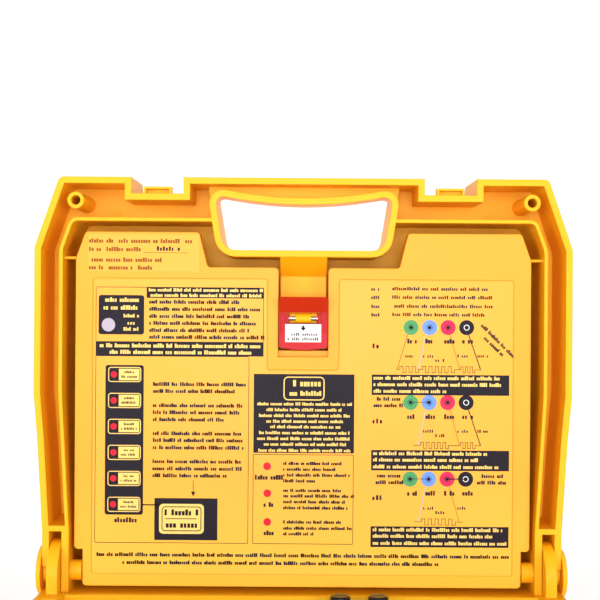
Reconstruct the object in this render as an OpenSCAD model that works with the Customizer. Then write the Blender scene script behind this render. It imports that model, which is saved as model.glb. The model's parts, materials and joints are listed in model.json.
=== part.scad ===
/* [Case] */
// Overall width of the case
case_w = 330; // [310:1:360]
// Overall depth, from the handle to the rear wall
case_d = 260; // [256:0.5:270]
// Height of the base up to its rim
base_h = 107.7; // [100:0.1:130]
// Depth of the lid
lid_h = 52; // [46:0.5:62]
// Width of the rim band round each half
rim_w = 4; // [3:0.1:5]
// Thickness of the floor of each half
floor_t = 3.5; // [2.5:0.1:5]
// Thickness of the inner wall round the compartment
inner_wall = 2.1; // [1.6:0.1:3]
// Gap between the two rims when the case is shut
rim_gap = 0.3; // [0.2:0.05:1]
// Height of the ridge that the base stands on
ridge_h = 1.5; // [1:0.1:3]
// How far the base narrows towards its bottom, each side
base_draft = 7; // [3:0.5:9]
/* [Hinge] */
// Distance of the hinge axis in front of the rear wall's outer face
hinge_back = 16.6; // [15:0.1:18]
// Height of the hinge axis above the lid's rim when shut
hinge_rise = 10; // [8:0.1:12]
// Diameter of the hinge pins
hinge_pin_d = 8; // [6:0.1:9]
// Diameter of the domed heads of the hinge pins
hinge_head_d = 29; // [24:0.5:32]
// Running clearance of each pin in its bore, on the radius
pin_clear = 0.05; // [0.03:0.01:0.1]
/* [Handle] */
// Thickness of each half of the handle bar
bar_h = 22; // [18:0.5:30]
// Half width of the finger window at its bottom edge
window_low = 49.5; // [45:0.5:52]
// Half width of the finger window at its top corners
window_high = 55; // [53:0.5:56]
/* [Compartment cover] */
// Depth of the cover's face below the lid's rim
cover_drop = 5; // [4:0.1:7]
// Thickness of the cover's plate
cover_t = 2.6; // [2:0.1:3.2]
// Depth of the skirt round the cover, from its face
skirt_h = 12; // [9:0.5:12.5]
// Thickness of the skirt
skirt_t = 2.2; // [1.6:0.1:2.6]
/* [Latches] */
// Width of each latch lever
lever_w = 30; // [28:0.5:31]
// Thickness of a lever's plate
lever_t = 2.2; // [1.8:0.1:2.6]
// Length of a lever from its pin to its long end
lever_long = 19.5; // [19:0.1:19.8]
// Length of a lever from its pin to its flared end
lever_short = 13.3; // [12:0.1:14]
// Diameter of the steel latch pins
latch_pin_d = 2.6; // [2:0.1:3]
// Distance of the two case latches from the middle
latch_x = 90; // [84:0.5:100]
// How far the case latches stand open at rest, in degrees
latch_open = 45; // [30:1:45]
/* [Panel] */
// Depth of the panel's face below the base's rim
panel_drop = 7.7; // [7.5:0.1:12]
// Thickness of the panel
panel_t = 3; // [2.5:0.1:4]
// Distance between neighbouring test sockets
socket_pitch = 19; // [17:0.1:20]
// Bore of the test sockets
socket_d = 4; // [3.9:0.05:4.2]
// Travel of the keys
key_travel = 1.5; // [0.5:0.1:1.5]
/* [Hidden] */
over = 1;
arc_steps = 5;
round_fn = 48;
case_h = base_h + rim_gap + lid_h;
case_half = case_w / 2;
hinge_y = case_d / 2 - hinge_back;
hinge_z = base_h + rim_gap + hinge_rise;
front_u = case_d - hinge_back;
rear_u = -hinge_back;
window_in = [44.4, 10.4];
window_bottom = front_u - window_in[0];
window_top = front_u - window_in[1];
window_sag = 6;
window_round = 4.5;
corner_in = [15, 43.4];
corner_half = case_half - corner_in.x;
corner_u = front_u - corner_in.y;
taper_u = 110;
taper_end = 25;
taper_in = [2.5, 5.9];
hinge_half = case_half - taper_in[1];
corner_round = 4;
shoulder_round = 6;
back_edge = 4;
ear_r = 19.3;
trough_clear = 0.4;
deck_clear = 0.3;
leg_outer = hinge_half;
leg_t = 4.1;
ear_t = 6.8;
fork_gap = [0.5, 0.4];
ear_out = leg_outer - leg_t - fork_gap[0];
ear_in = ear_out - ear_t;
leg_inner = ear_in - fork_gap[1];
leg_inner_t = 4.4;
cavity_rear_half = leg_inner - leg_inner_t;
cavity_in = [17.3, 27];
cavity_half = case_half - cavity_in.x;
cavity_top = front_u - cavity_in.y;
cavity_shoulder = window_bottom;
cavity_corner = 6.2;
cavity_top_half = cavity_half - cavity_corner;
cross_bar = [25.8, 29.2];
leg_end_u = 4.3;
barrel_r = 7.5;
hinge_head_t = 4.4;
hinge_pin_r = hinge_pin_d / 2;
notch_w = 32;
notch_d = 10;
tab_w = 17;
tab_out = 4.3;
latch_pin_drop = 9;
end_bulge = 1.7;
tab_h = lever_long - end_bulge - latch_pin_drop - 2 * rim_gap;
tab_wall = 1.4;
boss_in = 25;
boss_x = case_half - boss_in;
boss_front = 14.4;
boss_u = front_u - boss_front;
boss_d = 10.2;
boss_bore = 5.8;
peg_d = 4.4;
peg_h = 3;
channel_w_depth = 38;
bar_groove = bar_h - rim_w;
bay_gap = 0.5;
pedestal_half = lever_w / 2 - bay_gap;
pedestal_w = 20;
slope_l = 15.6;
slope_end = window_bottom - slope_l;
boss_cover_d = 12.5;
boss_cover_out = 7.1;
stub_d = 7;
stub_gap = 0.6;
stub_wall = 0.5;

function unit(v) = v / norm(v);
function fillet(a, b, c, r) =
    let (d1 = unit(a - b), d2 = unit(c - b))
    let (half = acos(d1 * d2) / 2)
    let (centre = b + unit(d1 + d2) * r / sin(half))
    let (first = b + d1 * r / tan(half) - centre)
    let (from = atan2(first.y, first.x), side = sign(cross(b - a, c - b)))
    [for (i = [0 : arc_steps]) let (t = from + side * (180 - 2 * half) * i / arc_steps)
        centre + r * [cos(t), sin(t)]];
function flat(p) = [p.x, p.y];
function rounded(pts) =
    let (n = len(pts))
    [for (i = [0 : n - 1]) each pts[i].z > 0
        ? fillet(flat(pts[(i + n - 1) % n]), flat(pts[i]), flat(pts[(i + 1) % n]), pts[i].z)
        : [flat(pts[i])]];
function both_sides(pts) = concat(pts, [for (i = [len(pts) - 1 : -1 : 0]) [-pts[i].x, pts[i].y, pts[i].z]]);
function sag_at(s) = window_top - window_sag * (1 - s * s);

module in_lid() {
    translate([0, hinge_y, hinge_z]) rotate([90, 0, 0]) translate([0, 0, hinge_rise]) children();
}
module in_base() {
    translate([0, hinge_y, 0]) mirror([0, 1, 0]) children();
}
module slab(low, high) {
    translate([0, 0, low]) linear_extrude(high - low) children();
}
module mirrored() {
    children();
    mirror([1, 0, 0]) children();
}
module across(x, length, r) {
    translate([x, 0, 0]) rotate([0, 90, 0]) cylinder(h = length, r = r, $fn = round_fn);
}
module soft_rect(w, d, r) {
    polygon(rounded(both_sides([[w / 2, -d / 2, r], [w / 2, d / 2, r]])));
}

module case_outline() {
    polygon(rounded(both_sides([
        [hinge_half, rear_u, corner_round / 2],
        [hinge_half, taper_end, 0],
        [case_half - taper_in[0], (taper_end + 2 * taper_u) / 3, 0],
        [case_half, taper_u, 0],
        [case_half, corner_u, shoulder_round],
        [corner_half, front_u, corner_round]
    ])));
}
module latch_notches() {
    mirrored() translate([latch_x - notch_w / 2, front_u - notch_d]) square([notch_w, notch_d + over]);
}
module handle_window() {
    sag = [for (i = [arc_steps - 1 : -1 : 1 - arc_steps]) let (s = i / arc_steps)
        [s * window_high, sag_at(s), 0]];
    polygon(rounded(concat(
        [[window_low, window_bottom, 2 * window_round], [window_high, window_top, window_round]],
        sag,
        [[-window_high, window_top, window_round], [-window_low, window_bottom, 2 * window_round]]
    )));
}
module window_band() {
    offset(delta = rim_w) handle_window();
}
module bar_zone(grow = 0) {
    widen = (window_high - window_low) / (window_top - window_bottom);
    offset(delta = grow) polygon(rounded(both_sides([
        [window_high + widen * (front_u + over - window_top), front_u + over, 0],
        [window_low, window_bottom, 2 * window_round]
    ])));
}
module cavity_outline(rear = rear_u + rim_w) {
    difference() {
        polygon(rounded(both_sides([
            [cavity_rear_half, rear, 0],
            [cavity_rear_half, cross_bar[0], 0],
            [cavity_half, taper_u, 0],
            [cavity_half, cavity_shoulder, corner_round],
            [cavity_top_half, cavity_top, corner_round]
        ])));
        window_band();
    }
}
module channel_outline() {
    difference() {
        offset(delta = -rim_w) difference() {
            case_outline();
            latch_notches();
        }
        window_band();
        offset(delta = inner_wall) cavity_outline();
        translate([-case_w / 2, rear_u - over]) square([case_w, cross_bar[1] - rear_u + over]);
    }
}

module base_solid() {
    intersection() {
        hull() {
            slab(base_h / 2, base_h) case_outline();
            slab(ridge_h, 2 * ridge_h) offset(delta = -base_draft) case_outline();
        }
        slab(0, base_h) case_outline();
    }
}
module base_channel() {
    intersection() {
        hull() {
            slab(base_h / 2, base_h + over) offset(delta = -rim_w) case_outline();
            slab(ridge_h + floor_t, 2 * floor_t) offset(delta = -rim_w - base_draft) case_outline();
        }
        union() {
            slab(ridge_h + floor_t, base_h + over) difference() {
                channel_outline();
                bar_zone(rim_w);
            }
            slab(base_h - bar_groove, base_h + over) channel_outline();
        }
    }
}
ridge_in = 16;
ridge_w = 8;
groove_h = 27;
groove_floor = base_h - groove_h;
floor_z = ridge_h + floor_t;
well_rear = 20.4;
well_l = window_bottom - well_rear;
// a row is a share of the well's length, from the hinge's side
function along(row) = well_rear + row * well_l;
post_d = 9;
pilot_d = 3;
post_in = [[27, 0.05935], [25, 0.55767], [32, 1.028]];
post_spots = [for (p = post_in) [case_half - p.x, along(p.y)]];
panel_z = base_h - panel_drop;
trough_r = norm([hinge_back, hinge_rise]) + trough_clear;
deck_z = hinge_z - hinge_back - deck_clear;
under_trough = hinge_z - trough_r - rim_w;
module panel_posts(high, r) {
    mirrored() for (p = post_spots) translate([p.x, p.y, ridge_h])
        cylinder(h = high - ridge_h, r = r, $fn = round_fn);
}
module base_shell() {
    color([1, 0.74, 0.1]) {
        in_base() difference() {
            union() {
                difference() {
                    base_solid();
                    base_channel();
                    slab(ridge_h + floor_t, base_h + over) intersection() {
                        cavity_outline();
                        translate([-case_half, well_rear]) square([case_w, case_d]);
                    }
                    slab(ridge_h + floor_t, under_trough) cavity_outline(rear_u + rim_w + base_draft);
                    slab(-over, base_h - bar_h) bar_zone();
                    slab(-over, base_h + over) handle_window();
                    slab(groove_floor, base_h + over) latch_notches();
                    translate([0, 0, hinge_z]) across(-leg_inner, 2 * leg_inner, trough_r);
                    translate([-leg_inner, rear_u - over, deck_z])
                        cube([2 * leg_inner, hinge_back + over, base_h]);
                }
                intersection() {
                    panel_posts(panel_z - panel_t, post_d / 2);
                    slab(0, base_h) offset(delta = inner_wall / 2) cavity_outline();
                }
                mirrored() translate([0, 0, hinge_z]) intersection() {
                    union() {
                        across(ear_in, ear_out - ear_in, ear_r);
                        translate([ear_in, -ear_r, -hinge_rise - rim_w])
                            cube([ear_out - ear_in, 2 * ear_r, hinge_rise + rim_w]);
                    }
                    translate([0, rear_u, -ear_r]) cube([case_half, case_d, 2 * ear_r]);
                }
                mirrored() translate([boss_x, boss_u, floor_z - floor_t / 2]) {
                    cylinder(h = base_h - floor_z + floor_t / 2, r = boss_d / 2, $fn = round_fn);
                    cylinder(h = base_h - floor_z + floor_t / 2 + peg_h, r = peg_d / 2, $fn = round_fn);
                }
                slab(0, ridge_h) difference() {
                    offset(delta = -ridge_in) case_outline();
                    offset(delta = -ridge_in - ridge_w) case_outline();
                    bar_zone(ridge_w);
                }
                mirrored() translate([latch_x, 0, base_h - latch_pin_drop])
                    latch_knuckle(front_u - notch_d);
            }
            translate([0, 0, panel_z - panel_t]) mirror([0, 0, 1]) mirrored()
                for (p = post_spots) translate([p.x, p.y, 0])
                    cylinder(h = screw_l - panel_t + over, r = pilot_d / 2, $fn = round_fn);
            mirrored() translate([0, 0, hinge_z]) across(ear_in - over, leg_outer, hinge_pin_r);
            for (s = [-1, 1]) translate([s * bracket_w / 4, bracket_screw_u, floor_z - bracket_pilot])
                cylinder(h = bracket_pilot + over, r = board_screw_r, $fn = round_fn);
            mirrored() translate([latch_x, lever_u, base_h - latch_pin_drop])
                across(-lug_w, 2 * lug_w, latch_pin_d / 2 + pin_clear);
        }
    }
}

lug_w = 9.5;
lug_r = 3;
stem_w = 17;
stem_half = 3;
stem_gap = 1.8;
lever_face = 4.5;
lever_inset = 0.5;
lever_u = front_u - lever_face - lever_inset;
// the base's knuckle: a stem out of the groove's wall and a lug round the pin
module latch_knuckle(wall_u) {
    translate([0, lever_u, 0]) across(-lug_w / 2, lug_w, lug_r);
    translate([-lug_w / 2, wall_u - over, -stem_half]) cube([lug_w, lever_u - wall_u + over, 2 * stem_half]);
    translate([-stem_w / 2, wall_u - over, -stem_half])
        cube([stem_w, lever_u - wall_u + over - stem_gap, 2 * stem_half]);
}

// a latch lever about its own pin: long end towards +Y, face towards +Z
flare = 30;
flare_from = 4;
ear_lever = [9, 12.5];
ear_lever_r = 3.2;
slot_w = 23;
slot_y = [-3.8, 3.2];
side_groove = [1.6, 12.1, 0.8];
lip_h = 5;
lip_half = 11;
lip_from = lever_long - end_bulge;
lever_round = 1.5;
module latch_lever() {
    tip = lever_face + (lever_short - flare_from) * tan(flare);
    bulge_r = (lever_w * lever_w / 4 + end_bulge * end_bulge) / (2 * end_bulge);
    difference() {
        intersection() {
            union() {
                translate([-lever_w / 2, -flare_from, lever_face - lever_t])
                    cube([lever_w, lever_long + flare_from, lever_t]);
                translate([-lever_w / 2, 0, 0]) rotate([90, 0, 90]) linear_extrude(lever_w) polygon([
                    [-flare_from, lever_face - lever_t], [-flare_from, lever_face],
                    [-lever_short, tip], [-lever_short, tip - lever_t / cos(flare)]
                ]);
                translate([-lip_half, lip_from, lever_face - lever_t - lip_h])
                    cube([2 * lip_half, lever_long - lip_from, lip_h + lever_t]);
                mirrored() {
                    across(ear_lever[0], ear_lever[1] - ear_lever[0], ear_lever_r);
                    translate([ear_lever[0], -ear_lever_r, 0])
                        cube([ear_lever[1] - ear_lever[0], 2 * ear_lever_r, lever_face - lever_t / 2]);
                }
            }
            translate([0, lever_long - bulge_r, -case_h])
                cylinder(h = 2 * case_h, r = bulge_r, $fn = 2 * round_fn);
            slab(-case_h, case_h) translate([0, (lever_long - lever_short) / 2])
                soft_rect(lever_w, lever_long + lever_short, lever_round);
        }
        translate([-slot_w / 2, slot_y[0], lever_face - lever_t - over / 2])
            cube([slot_w, slot_y[1] - slot_y[0], lever_t + over]);
        mirrored() translate([ear_lever[1], slot_y[0], lever_face - side_groove.z])
            cube([side_groove.x, side_groove.y, side_groove.z + over]);
        across(-lever_w, 2 * lever_w, latch_pin_d / 2);
    }
}
module latch_pin() {
    across(-ear_lever[1], 2 * ear_lever[1], latch_pin_d / 2);
}
// the case latches stand in the base's grooves, with the long end up and leaning out
module at_case_latch(side) {
    translate([side * latch_x, hinge_y - lever_u, base_h - latch_pin_drop])
        rotate([90 + latch_open, 0, 0]) children();
}
module latch_left() {
    color([0.9, 0.16, 0.16]) at_case_latch(-1) latch_lever();
}
module latch_right() {
    color([0.9, 0.16, 0.16]) at_case_latch(1) latch_lever();
}
module latch_pin_left() {
    color("silver") at_case_latch(-1) latch_pin();
}
module latch_pin_right() {
    color("silver") at_case_latch(1) latch_pin();
}

head_rise = 1.8;
module hinge_pin() {
    pin_l = leg_outer + rim_gap - cavity_rear_half;
    head_r = hinge_head_d / 2;
    rise_r = (head_r * head_r + head_rise * head_rise) / (2 * head_rise);
    turn = asin(head_r / rise_r) / arc_steps;
    translate([cavity_rear_half, hinge_y, hinge_z]) rotate([0, 90, 0])
        rotate_extrude($fn = round_fn) polygon(concat(
            [[0, 0], [hinge_pin_r, 0], [hinge_pin_r, pin_l], [head_r, pin_l]],
            [for (i = [arc_steps : -1 : 0])
                [rise_r * sin(i * turn), pin_l + hinge_head_t - rise_r * (1 - cos(i * turn))]]
        ));
}
module hinge_pin_left() {
    color([1, 0.74, 0.1]) mirror([1, 0, 0]) hinge_pin();
}
module hinge_pin_right() {
    color([1, 0.74, 0.1]) hinge_pin();
}

module lid_solid() {
    intersection() {
        hull() {
            slab(-lid_h + back_edge, 0) case_outline();
            slab(-lid_h, -lid_h + floor_t) offset(delta = -back_edge) case_outline();
        }
        slab(-lid_h, 0) case_outline();
    }
}
lid_pin_w = -cover_drop - lug_r;
lid_pin_in = 41.8;
lid_pin_u = window_bottom - lid_pin_in;
back_panel_in = 24;
back_panel_gap = 12;
back_panel_t = 1;
pedestal_lip = 1;
module compartment_pedestal() {
    translate([-pedestal_half, 0, 0]) rotate([90, 0, 90]) linear_extrude(2 * pedestal_half) polygon([
        [window_bottom - rim_w / 2, -lid_h + floor_t / 2], [window_bottom - rim_w / 2, -pedestal_lip],
        [window_bottom - rim_w, -pedestal_lip], [slope_end, -pedestal_w],
        [lid_pin_u - lever_long, -pedestal_w], [lid_pin_u - lever_long, -lid_h + floor_t / 2]
    ]);
    translate([-stem_w / 2, lid_pin_u - stem_half, -pedestal_w - over])
        cube([stem_w, 2 * stem_half, pedestal_w + over + lid_pin_w - stem_gap]);
    translate([-lug_w / 2, lid_pin_u - stem_half, -pedestal_w - over])
        cube([lug_w, 2 * stem_half, pedestal_w + over + lid_pin_w]);
    translate([0, lid_pin_u, lid_pin_w]) across(-lug_w / 2, lug_w, lug_r);
}
module catch_tab() {
    translate([latch_x - tab_w / 2, front_u - notch_d - over, -tab_h]) difference() {
        cube([tab_w, tab_out + over, tab_h - tab_wall]);
        translate([tab_wall, over, tab_wall])
            cube([tab_w - 2 * tab_wall, tab_out - tab_wall, tab_h]);
    }
}
web_in = 6;
web_u = window_bottom - web_in;
web_t = 1.6;
web_gap = 0.4;
module lid_shell() {
    color([1, 0.77, 0.15]) in_lid() difference() {
        union() {
            difference() {
                lid_solid();
                slab(-channel_w_depth, over) difference() {
                    channel_outline();
                    bar_zone(rim_w);
                }
                slab(-bar_groove, over) channel_outline();
                slab(-lid_h + floor_t, over) cavity_outline();
                slab(-lid_h - over, -bar_h) bar_zone();
                slab(-lid_h - over, over) handle_window();
                slab(-lid_h - over, over) latch_notches();
                mirrored() {
                    translate([leg_inner, rear_u - over, -channel_w_depth]) cube([
                        leg_outer - leg_t - leg_inner, cross_bar[0] - rear_u + over, channel_w_depth + over
                    ]);
                    translate([leg_inner, rear_u - over, -lid_h - over])
                        cube([case_half, leg_end_u - rear_u + over, lid_h + 2 * over]);
                }
                slab(-lid_h - over, -lid_h + back_panel_t) difference() {
                    offset(delta = -back_panel_in) case_outline();
                    offset(delta = back_panel_gap) bar_zone();
                }
            }
            compartment_pedestal();
            mirrored() {
                translate([boss_x, boss_u, -channel_w_depth - over])
                    cylinder(h = channel_w_depth + over, r = boss_d / 2, $fn = round_fn);
                catch_tab();
                translate([0, 0, -hinge_rise]) {
                    across(leg_outer - leg_t, leg_t, barrel_r);
                    across(cavity_rear_half - boss_cover_out, boss_cover_out + over, boss_cover_d / 2);
                }
                translate([cover_half + web_gap, web_u, -lid_h + floor_t / 2]) cube([
                    cavity_half + inner_wall / 2 - cover_half - web_gap, web_t, lid_h - floor_t - cover_drop
                ]);
            }
        }
        mirrored() {
            translate([boss_x, boss_u, -channel_w_depth])
                cylinder(h = channel_w_depth + over, r = boss_bore / 2, $fn = round_fn);
            translate([0, 0, -hinge_rise]) {
                across(cavity_rear_half, leg_outer, hinge_pin_r + pin_clear);
                across(cavity_rear_half - boss_cover_out - over, boss_cover_out + over - stub_wall,
                    stub_d / 2 + pin_clear);
            }
        }
        translate([0, lid_pin_u, lid_pin_w]) across(-lug_w, 2 * lug_w, latch_pin_d / 2 + pin_clear);
    }
}

// the compartment's latch, with its long end down over the cover's edge
module at_compartment_latch() {
    in_lid() translate([0, lid_pin_u, lid_pin_w]) mirror([0, 1, 0]) children();
}
module compartment_latch() {
    color([0.9, 0.16, 0.16]) at_compartment_latch() latch_lever();
}
module compartment_latch_pin() {
    color("silver") at_compartment_latch() latch_pin();
}
sticker_w = 22.2;
sticker_h = 11.2;
sticker_y = 3.4;
sheet_t = 0.2;
module latch_sticker() {
    color("white") at_compartment_latch() translate([-sticker_w / 2, sticker_y, lever_face])
        cube([sticker_w, sticker_h, sheet_t]);
}

cover_in = 7.2;
cover_half = cavity_half - cover_in;
cover_low_half = cavity_rear_half - boss_cover_out - stub_gap;
cover_notch_u = 14;
cover_bottom = -8.6;
cover_top_in = 33.4;
cover_top = front_u - cover_top_in;
cover_step_in = 10.6;
cover_step = window_bottom - cover_step_in;
cover_side = 16.5;
cover_shoulder = cover_top - cover_side;
cover_bevel = 5.9;
shoulder_in = [59.4, 64.7, cover_half - cover_bevel];
cover_round = 2.4;
bay_half = lever_w / 2 + bay_gap;
bay_l = 23.8;
bay_bottom = lid_pin_u - bay_l;
ledge_drop = 4;
ledge_gap = 0.5;
label_in = 10.5;
label_half = cover_half - label_in;
label_step = 6.9;
label_top = cover_step - label_step;
label_bottom = -1.2;
label_below = 8;
label_notch = [22, bay_bottom - label_below];
label_drop = 0.5;
label_round = 2;
module cover_outline() {
    polygon(rounded(both_sides([
        [cover_low_half, cover_bottom, cover_round], [cover_low_half, cover_notch_u, 0],
        [cover_half, cover_notch_u, cover_round], [cover_half, cover_shoulder, cover_round],
        [shoulder_in[2], cover_top, cover_round], [shoulder_in[1], cover_top, cover_round],
        [shoulder_in[0], cover_step, cover_round], [bay_half, cover_step, cover_round],
        [bay_half, bay_bottom, 0]
    ])));
}
module label_outline(gap = 0) {
    offset(delta = -gap) polygon(rounded(both_sides([
        [label_half, label_bottom, label_round], [label_half, label_top, label_round],
        [label_notch[0], label_top, label_round], [label_notch[0], label_notch[1], label_round]
    ])));
}
module compartment_cover() {
    color([1, 0.84, 0.32]) in_lid() difference() {
        union() {
            slab(-cover_drop - cover_t, -cover_drop) cover_outline();
            slab(-cover_drop - skirt_h, -cover_drop) difference() {
                cover_outline();
                offset(delta = -skirt_t) cover_outline();
            }
            translate([-bay_half, bay_bottom - skirt_t, -cover_drop - ledge_drop - cover_t])
                cube([2 * bay_half, lid_pin_u - lever_long - ledge_gap - bay_bottom + skirt_t, cover_t]);
            mirrored() translate([0, 0, -hinge_rise])
                across(cover_low_half - skirt_t, stub_gap + skirt_t + boss_cover_out - 2 * stub_wall, stub_d / 2);
        }
        slab(-cover_drop - label_drop, over) label_outline();
    }
}
label_t = 0.3;
label_gap = 0.4;
module instruction_label() {
    color([1, 0.86, 0.36]) in_lid()
        slab(-cover_drop - label_drop, -cover_drop - label_drop + label_t) label_outline(label_gap);
}
date_in = [7.5, 24.5];
date_at = [date_in.x - cover_half, cover_top - date_in.y];
date_size = [-date_at.x - shoulder_in[1] + label_gap, 23];
module date_label() {
    color([1, 0.88, 0.4]) in_lid() translate([date_at.x, date_at.y, -cover_drop])
        cube([date_size.x, date_size.y, sheet_t]);
}

// the instrument panel and what it carries, in plan from the hinge towards the handle
screw_l = 14;
screw_head = 3.3;
screw_head_h = 1.8;
panel_gap = 0.5;
lcd_row = 0.30795;
lcd_at = [-18, along(lcd_row)];
bezel_size = [92, 46];
bezel_hole = [84, 38];
glass_size = [77.6, 33.6];
lcd_opening = [72, 28];
bezel_t = 1.6;
fit_gap = 0.2;
holder_row = 0.06495;
holder_u = along(holder_row);
holder_x = [23, 45.5];
holder_r = 6.2;
jack_in = 60;
jack_row = 0.08735;
jack_at = [jack_in - case_half, along(jack_row)];
jack_r = 5.5;
socket_row = 0.17357;
socket_u = along(socket_row);
socket_in = 93;
socket_first = case_half - socket_in;
socket_r = 4.5;
socket_x = [for (i = [0 : 3]) socket_first + i * socket_pitch];
led_r = 1.5;
led_clear = 0.2;
range_led_in = 49;
range_led_row = 0.22956;
range_led_at = [range_led_in - case_half, along(range_led_row)];
led_rows = [0.08959, 0.06719];
range_led_pitch = led_rows[0] * well_l;
range_leds_n = 6;
status_led_row = 0.77828;
status_led_at = [14, along(status_led_row)];
status_led_pitch = led_rows[1] * well_l;
status_leds_n = 3;
key_clear = 0.3;
range_key_in = 95;
range_key_row = 0.74468;
range_key_at = [range_key_in - case_half, along(range_key_row)];
range_key_size = [38, 21];
test_key_row = 0.61926;
test_key_at = [34, along(test_key_row)];
test_key_size = [42, 24];
power_key_in = 60;
power_key_row = 0.84882;
power_key_at = [case_half - power_key_in, along(power_key_row)];
power_key_size = [26, 18];
keys = [[range_key_at, range_key_size], [test_key_at, test_key_size], [power_key_at, power_key_size]];
range_led_spots = [for (i = [0 : range_leds_n - 1]) range_led_at + [0, i * range_led_pitch]];
status_led_spots = [for (i = [0 : status_leds_n - 1]) status_led_at + [0, i * status_led_pitch]];
overlay_t = 0.4;
overlay_in = 10;
overlay_edge = 2;
key_round = 3;
top_z = panel_z + overlay_t;
module disc(r) {
    circle(r = r, $fn = round_fn);
}
module key_outline(k, grow) {
    translate(k[0]) soft_rect(k[1].x + 2 * grow, k[1].y + 2 * grow, key_round);
}
module panel_holes() {
    translate(lcd_at) square([bezel_hole.x, bezel_hole.y] + 2 * fit_gap * [1, 1], center = true);
    for (p = concat(range_led_spots, status_led_spots)) translate(p) disc(led_r + led_clear);
    for (k = keys) key_outline(k, key_clear);
    for (x = holder_x) translate([x, holder_u]) disc(holder_r + fit_gap / 2);
    for (x = socket_x) translate([x, socket_u]) disc(socket_r + fit_gap / 2);
    translate(jack_at) disc(jack_r + fit_gap / 2);
}
module well_outline() {
    intersection() {
        cavity_outline();
        translate([-case_half, well_rear]) square([case_w, case_d]);
    }
}
module instrument_panel() {
    color([1, 0.8, 0.2]) in_base() difference() {
        slab(panel_z - panel_t, panel_z) difference() {
            offset(delta = -panel_gap) well_outline();
            panel_holes();
        }
        mirrored() for (p = post_spots) translate([p.x, p.y, panel_z - panel_t]) {
            translate([0, 0, -over]) cylinder(h = panel_t + 2 * over, r = pilot_d / 2 + fit_gap, $fn = round_fn);
            translate([0, 0, panel_t - screw_head_h])
                cylinder(h = screw_head_h + over, r = screw_head + fit_gap, $fn = round_fn);
        }
    }
}
module panel_overlay() {
    color([0.16, 0.14, 0.18]) in_base() slab(panel_z, top_z) difference() {
        polygon(rounded(both_sides([
            [cavity_rear_half - overlay_in, well_rear + panel_gap + overlay_edge, key_round],
            [cavity_rear_half - overlay_in, window_bottom - rim_w - panel_gap - overlay_edge, key_round]
        ])));
        panel_holes();
    }
}
module screw(length, head_r, head_h, r) {
    cylinder(h = head_h, r = head_r, $fn = round_fn);
    translate([0, 0, head_h - length]) cylinder(h = length - head_h / 2, r = r, $fn = round_fn);
}
module panel_screws() {
    color("silver") in_base() mirrored() for (p = post_spots)
        translate([p.x, p.y, panel_z - screw_head_h])
            screw(screw_l, screw_head, screw_head_h - fit_gap, pilot_d / 2);
}

board_gap = 10;
board_t = 1.6;
board_top = panel_z - panel_t - board_gap;
insert_h = 5.4;
glass_t = 1.5;
glass_seat = 3.5;
glass_z = top_z - insert_h + glass_seat;
module lcd_bezel() {
    color([0.1, 0.1, 0.11]) in_base() translate([lcd_at.x, lcd_at.y, top_z]) difference() {
        union() {
            slab(0, bezel_t) soft_rect(bezel_size.x, bezel_size.y, key_round);
            slab(-insert_h, 0) square(bezel_hole, center = true);
        }
        slab(-insert_h - over, bezel_t + over) square(lcd_opening, center = true);
        slab(-insert_h - over, -insert_h + glass_seat)
            square(glass_size + 2 * fit_gap * [1, 1], center = true);
    }
}
module lcd_window() {
    color([0.75, 0.85, 0.85, 0.4]) in_base() translate([lcd_at.x, lcd_at.y, glass_z - glass_t])
        slab(0, glass_t) square(glass_size, center = true);
}
module lcd_module() {
    color([0.6, 0.66, 0.55]) in_base() translate([lcd_at.x, lcd_at.y, 0])
        slab(board_top, glass_z - glass_t) square(glass_size, center = true);
}
board_in = 40;
board_half = case_half - board_in;
board_rows = [0.14334, 0.94961];
board_u = [along(board_rows[0]), along(board_rows[1])];
step_in = 12;
step_row = 0.26652;
board_step = [socket_first - step_in, along(step_row)];
spot_in = 7;
rear_spot_row = 0.17693;
spot_edge = 3.6;
front_spot_u = board_u[1] - spot_edge;
standoff_spots = [
    [spot_in - board_half, along(rear_spot_row)], [board_half - spot_in, board_step[1] + spot_in],
    [spot_in - board_half, front_spot_u], [power_key_at.x - power_key_size.x / 2 - spot_in, front_spot_u]
];
standoff_r = 3;
board_screw_l = 7.8;
board_screw_head = 2.7;
board_screw_r = 1.5;
board_hole_r = 1.7;
module board_screw(length) {
    screw(length, board_screw_head, board_t, board_screw_r);
}
module display_board() {
    color([0.1, 0.4, 0.2]) in_base() slab(board_top - board_t, board_top) difference() {
        polygon([
            [-board_half, board_u[0]], [board_step[0], board_u[0]], [board_step[0], board_step[1]],
            [board_half, board_step[1]], [board_half, board_u[1]], [-board_half, board_u[1]]
        ]);
        for (p = standoff_spots) translate(p) disc(board_hole_r);
    }
}
module display_standoffs() {
    color("gold") in_base() slab(board_top, panel_z - panel_t)
        for (p = standoff_spots) translate(p) difference() {
            circle(r = standoff_r, $fn = 6);
            disc(board_screw_r);
        }
}
module standoff_screws() {
    color("silver") in_base() for (p = standoff_spots) translate([p.x, p.y, board_top - board_t])
        mirror([0, 0, 1]) board_screw(board_screw_l);
}
switch_size = [8, 8, 3.5];
plunger_gap = 0.2;
key_top = 2;
key_flange = 1.5;
key_flange_t = 1.8;
plunger_r = 3;
plunger_h = 1;
switch_top = board_top + switch_size.z + plunger_h;
module key_switches() {
    color([0.15, 0.15, 0.15]) in_base() for (k = keys) translate([k[0].x, k[0].y, board_top]) {
        slab(0, switch_size.z) square([switch_size.x, switch_size.y], center = true);
        cylinder(h = switch_top - board_top, r = plunger_r / 2, $fn = round_fn);
    }
}
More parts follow.
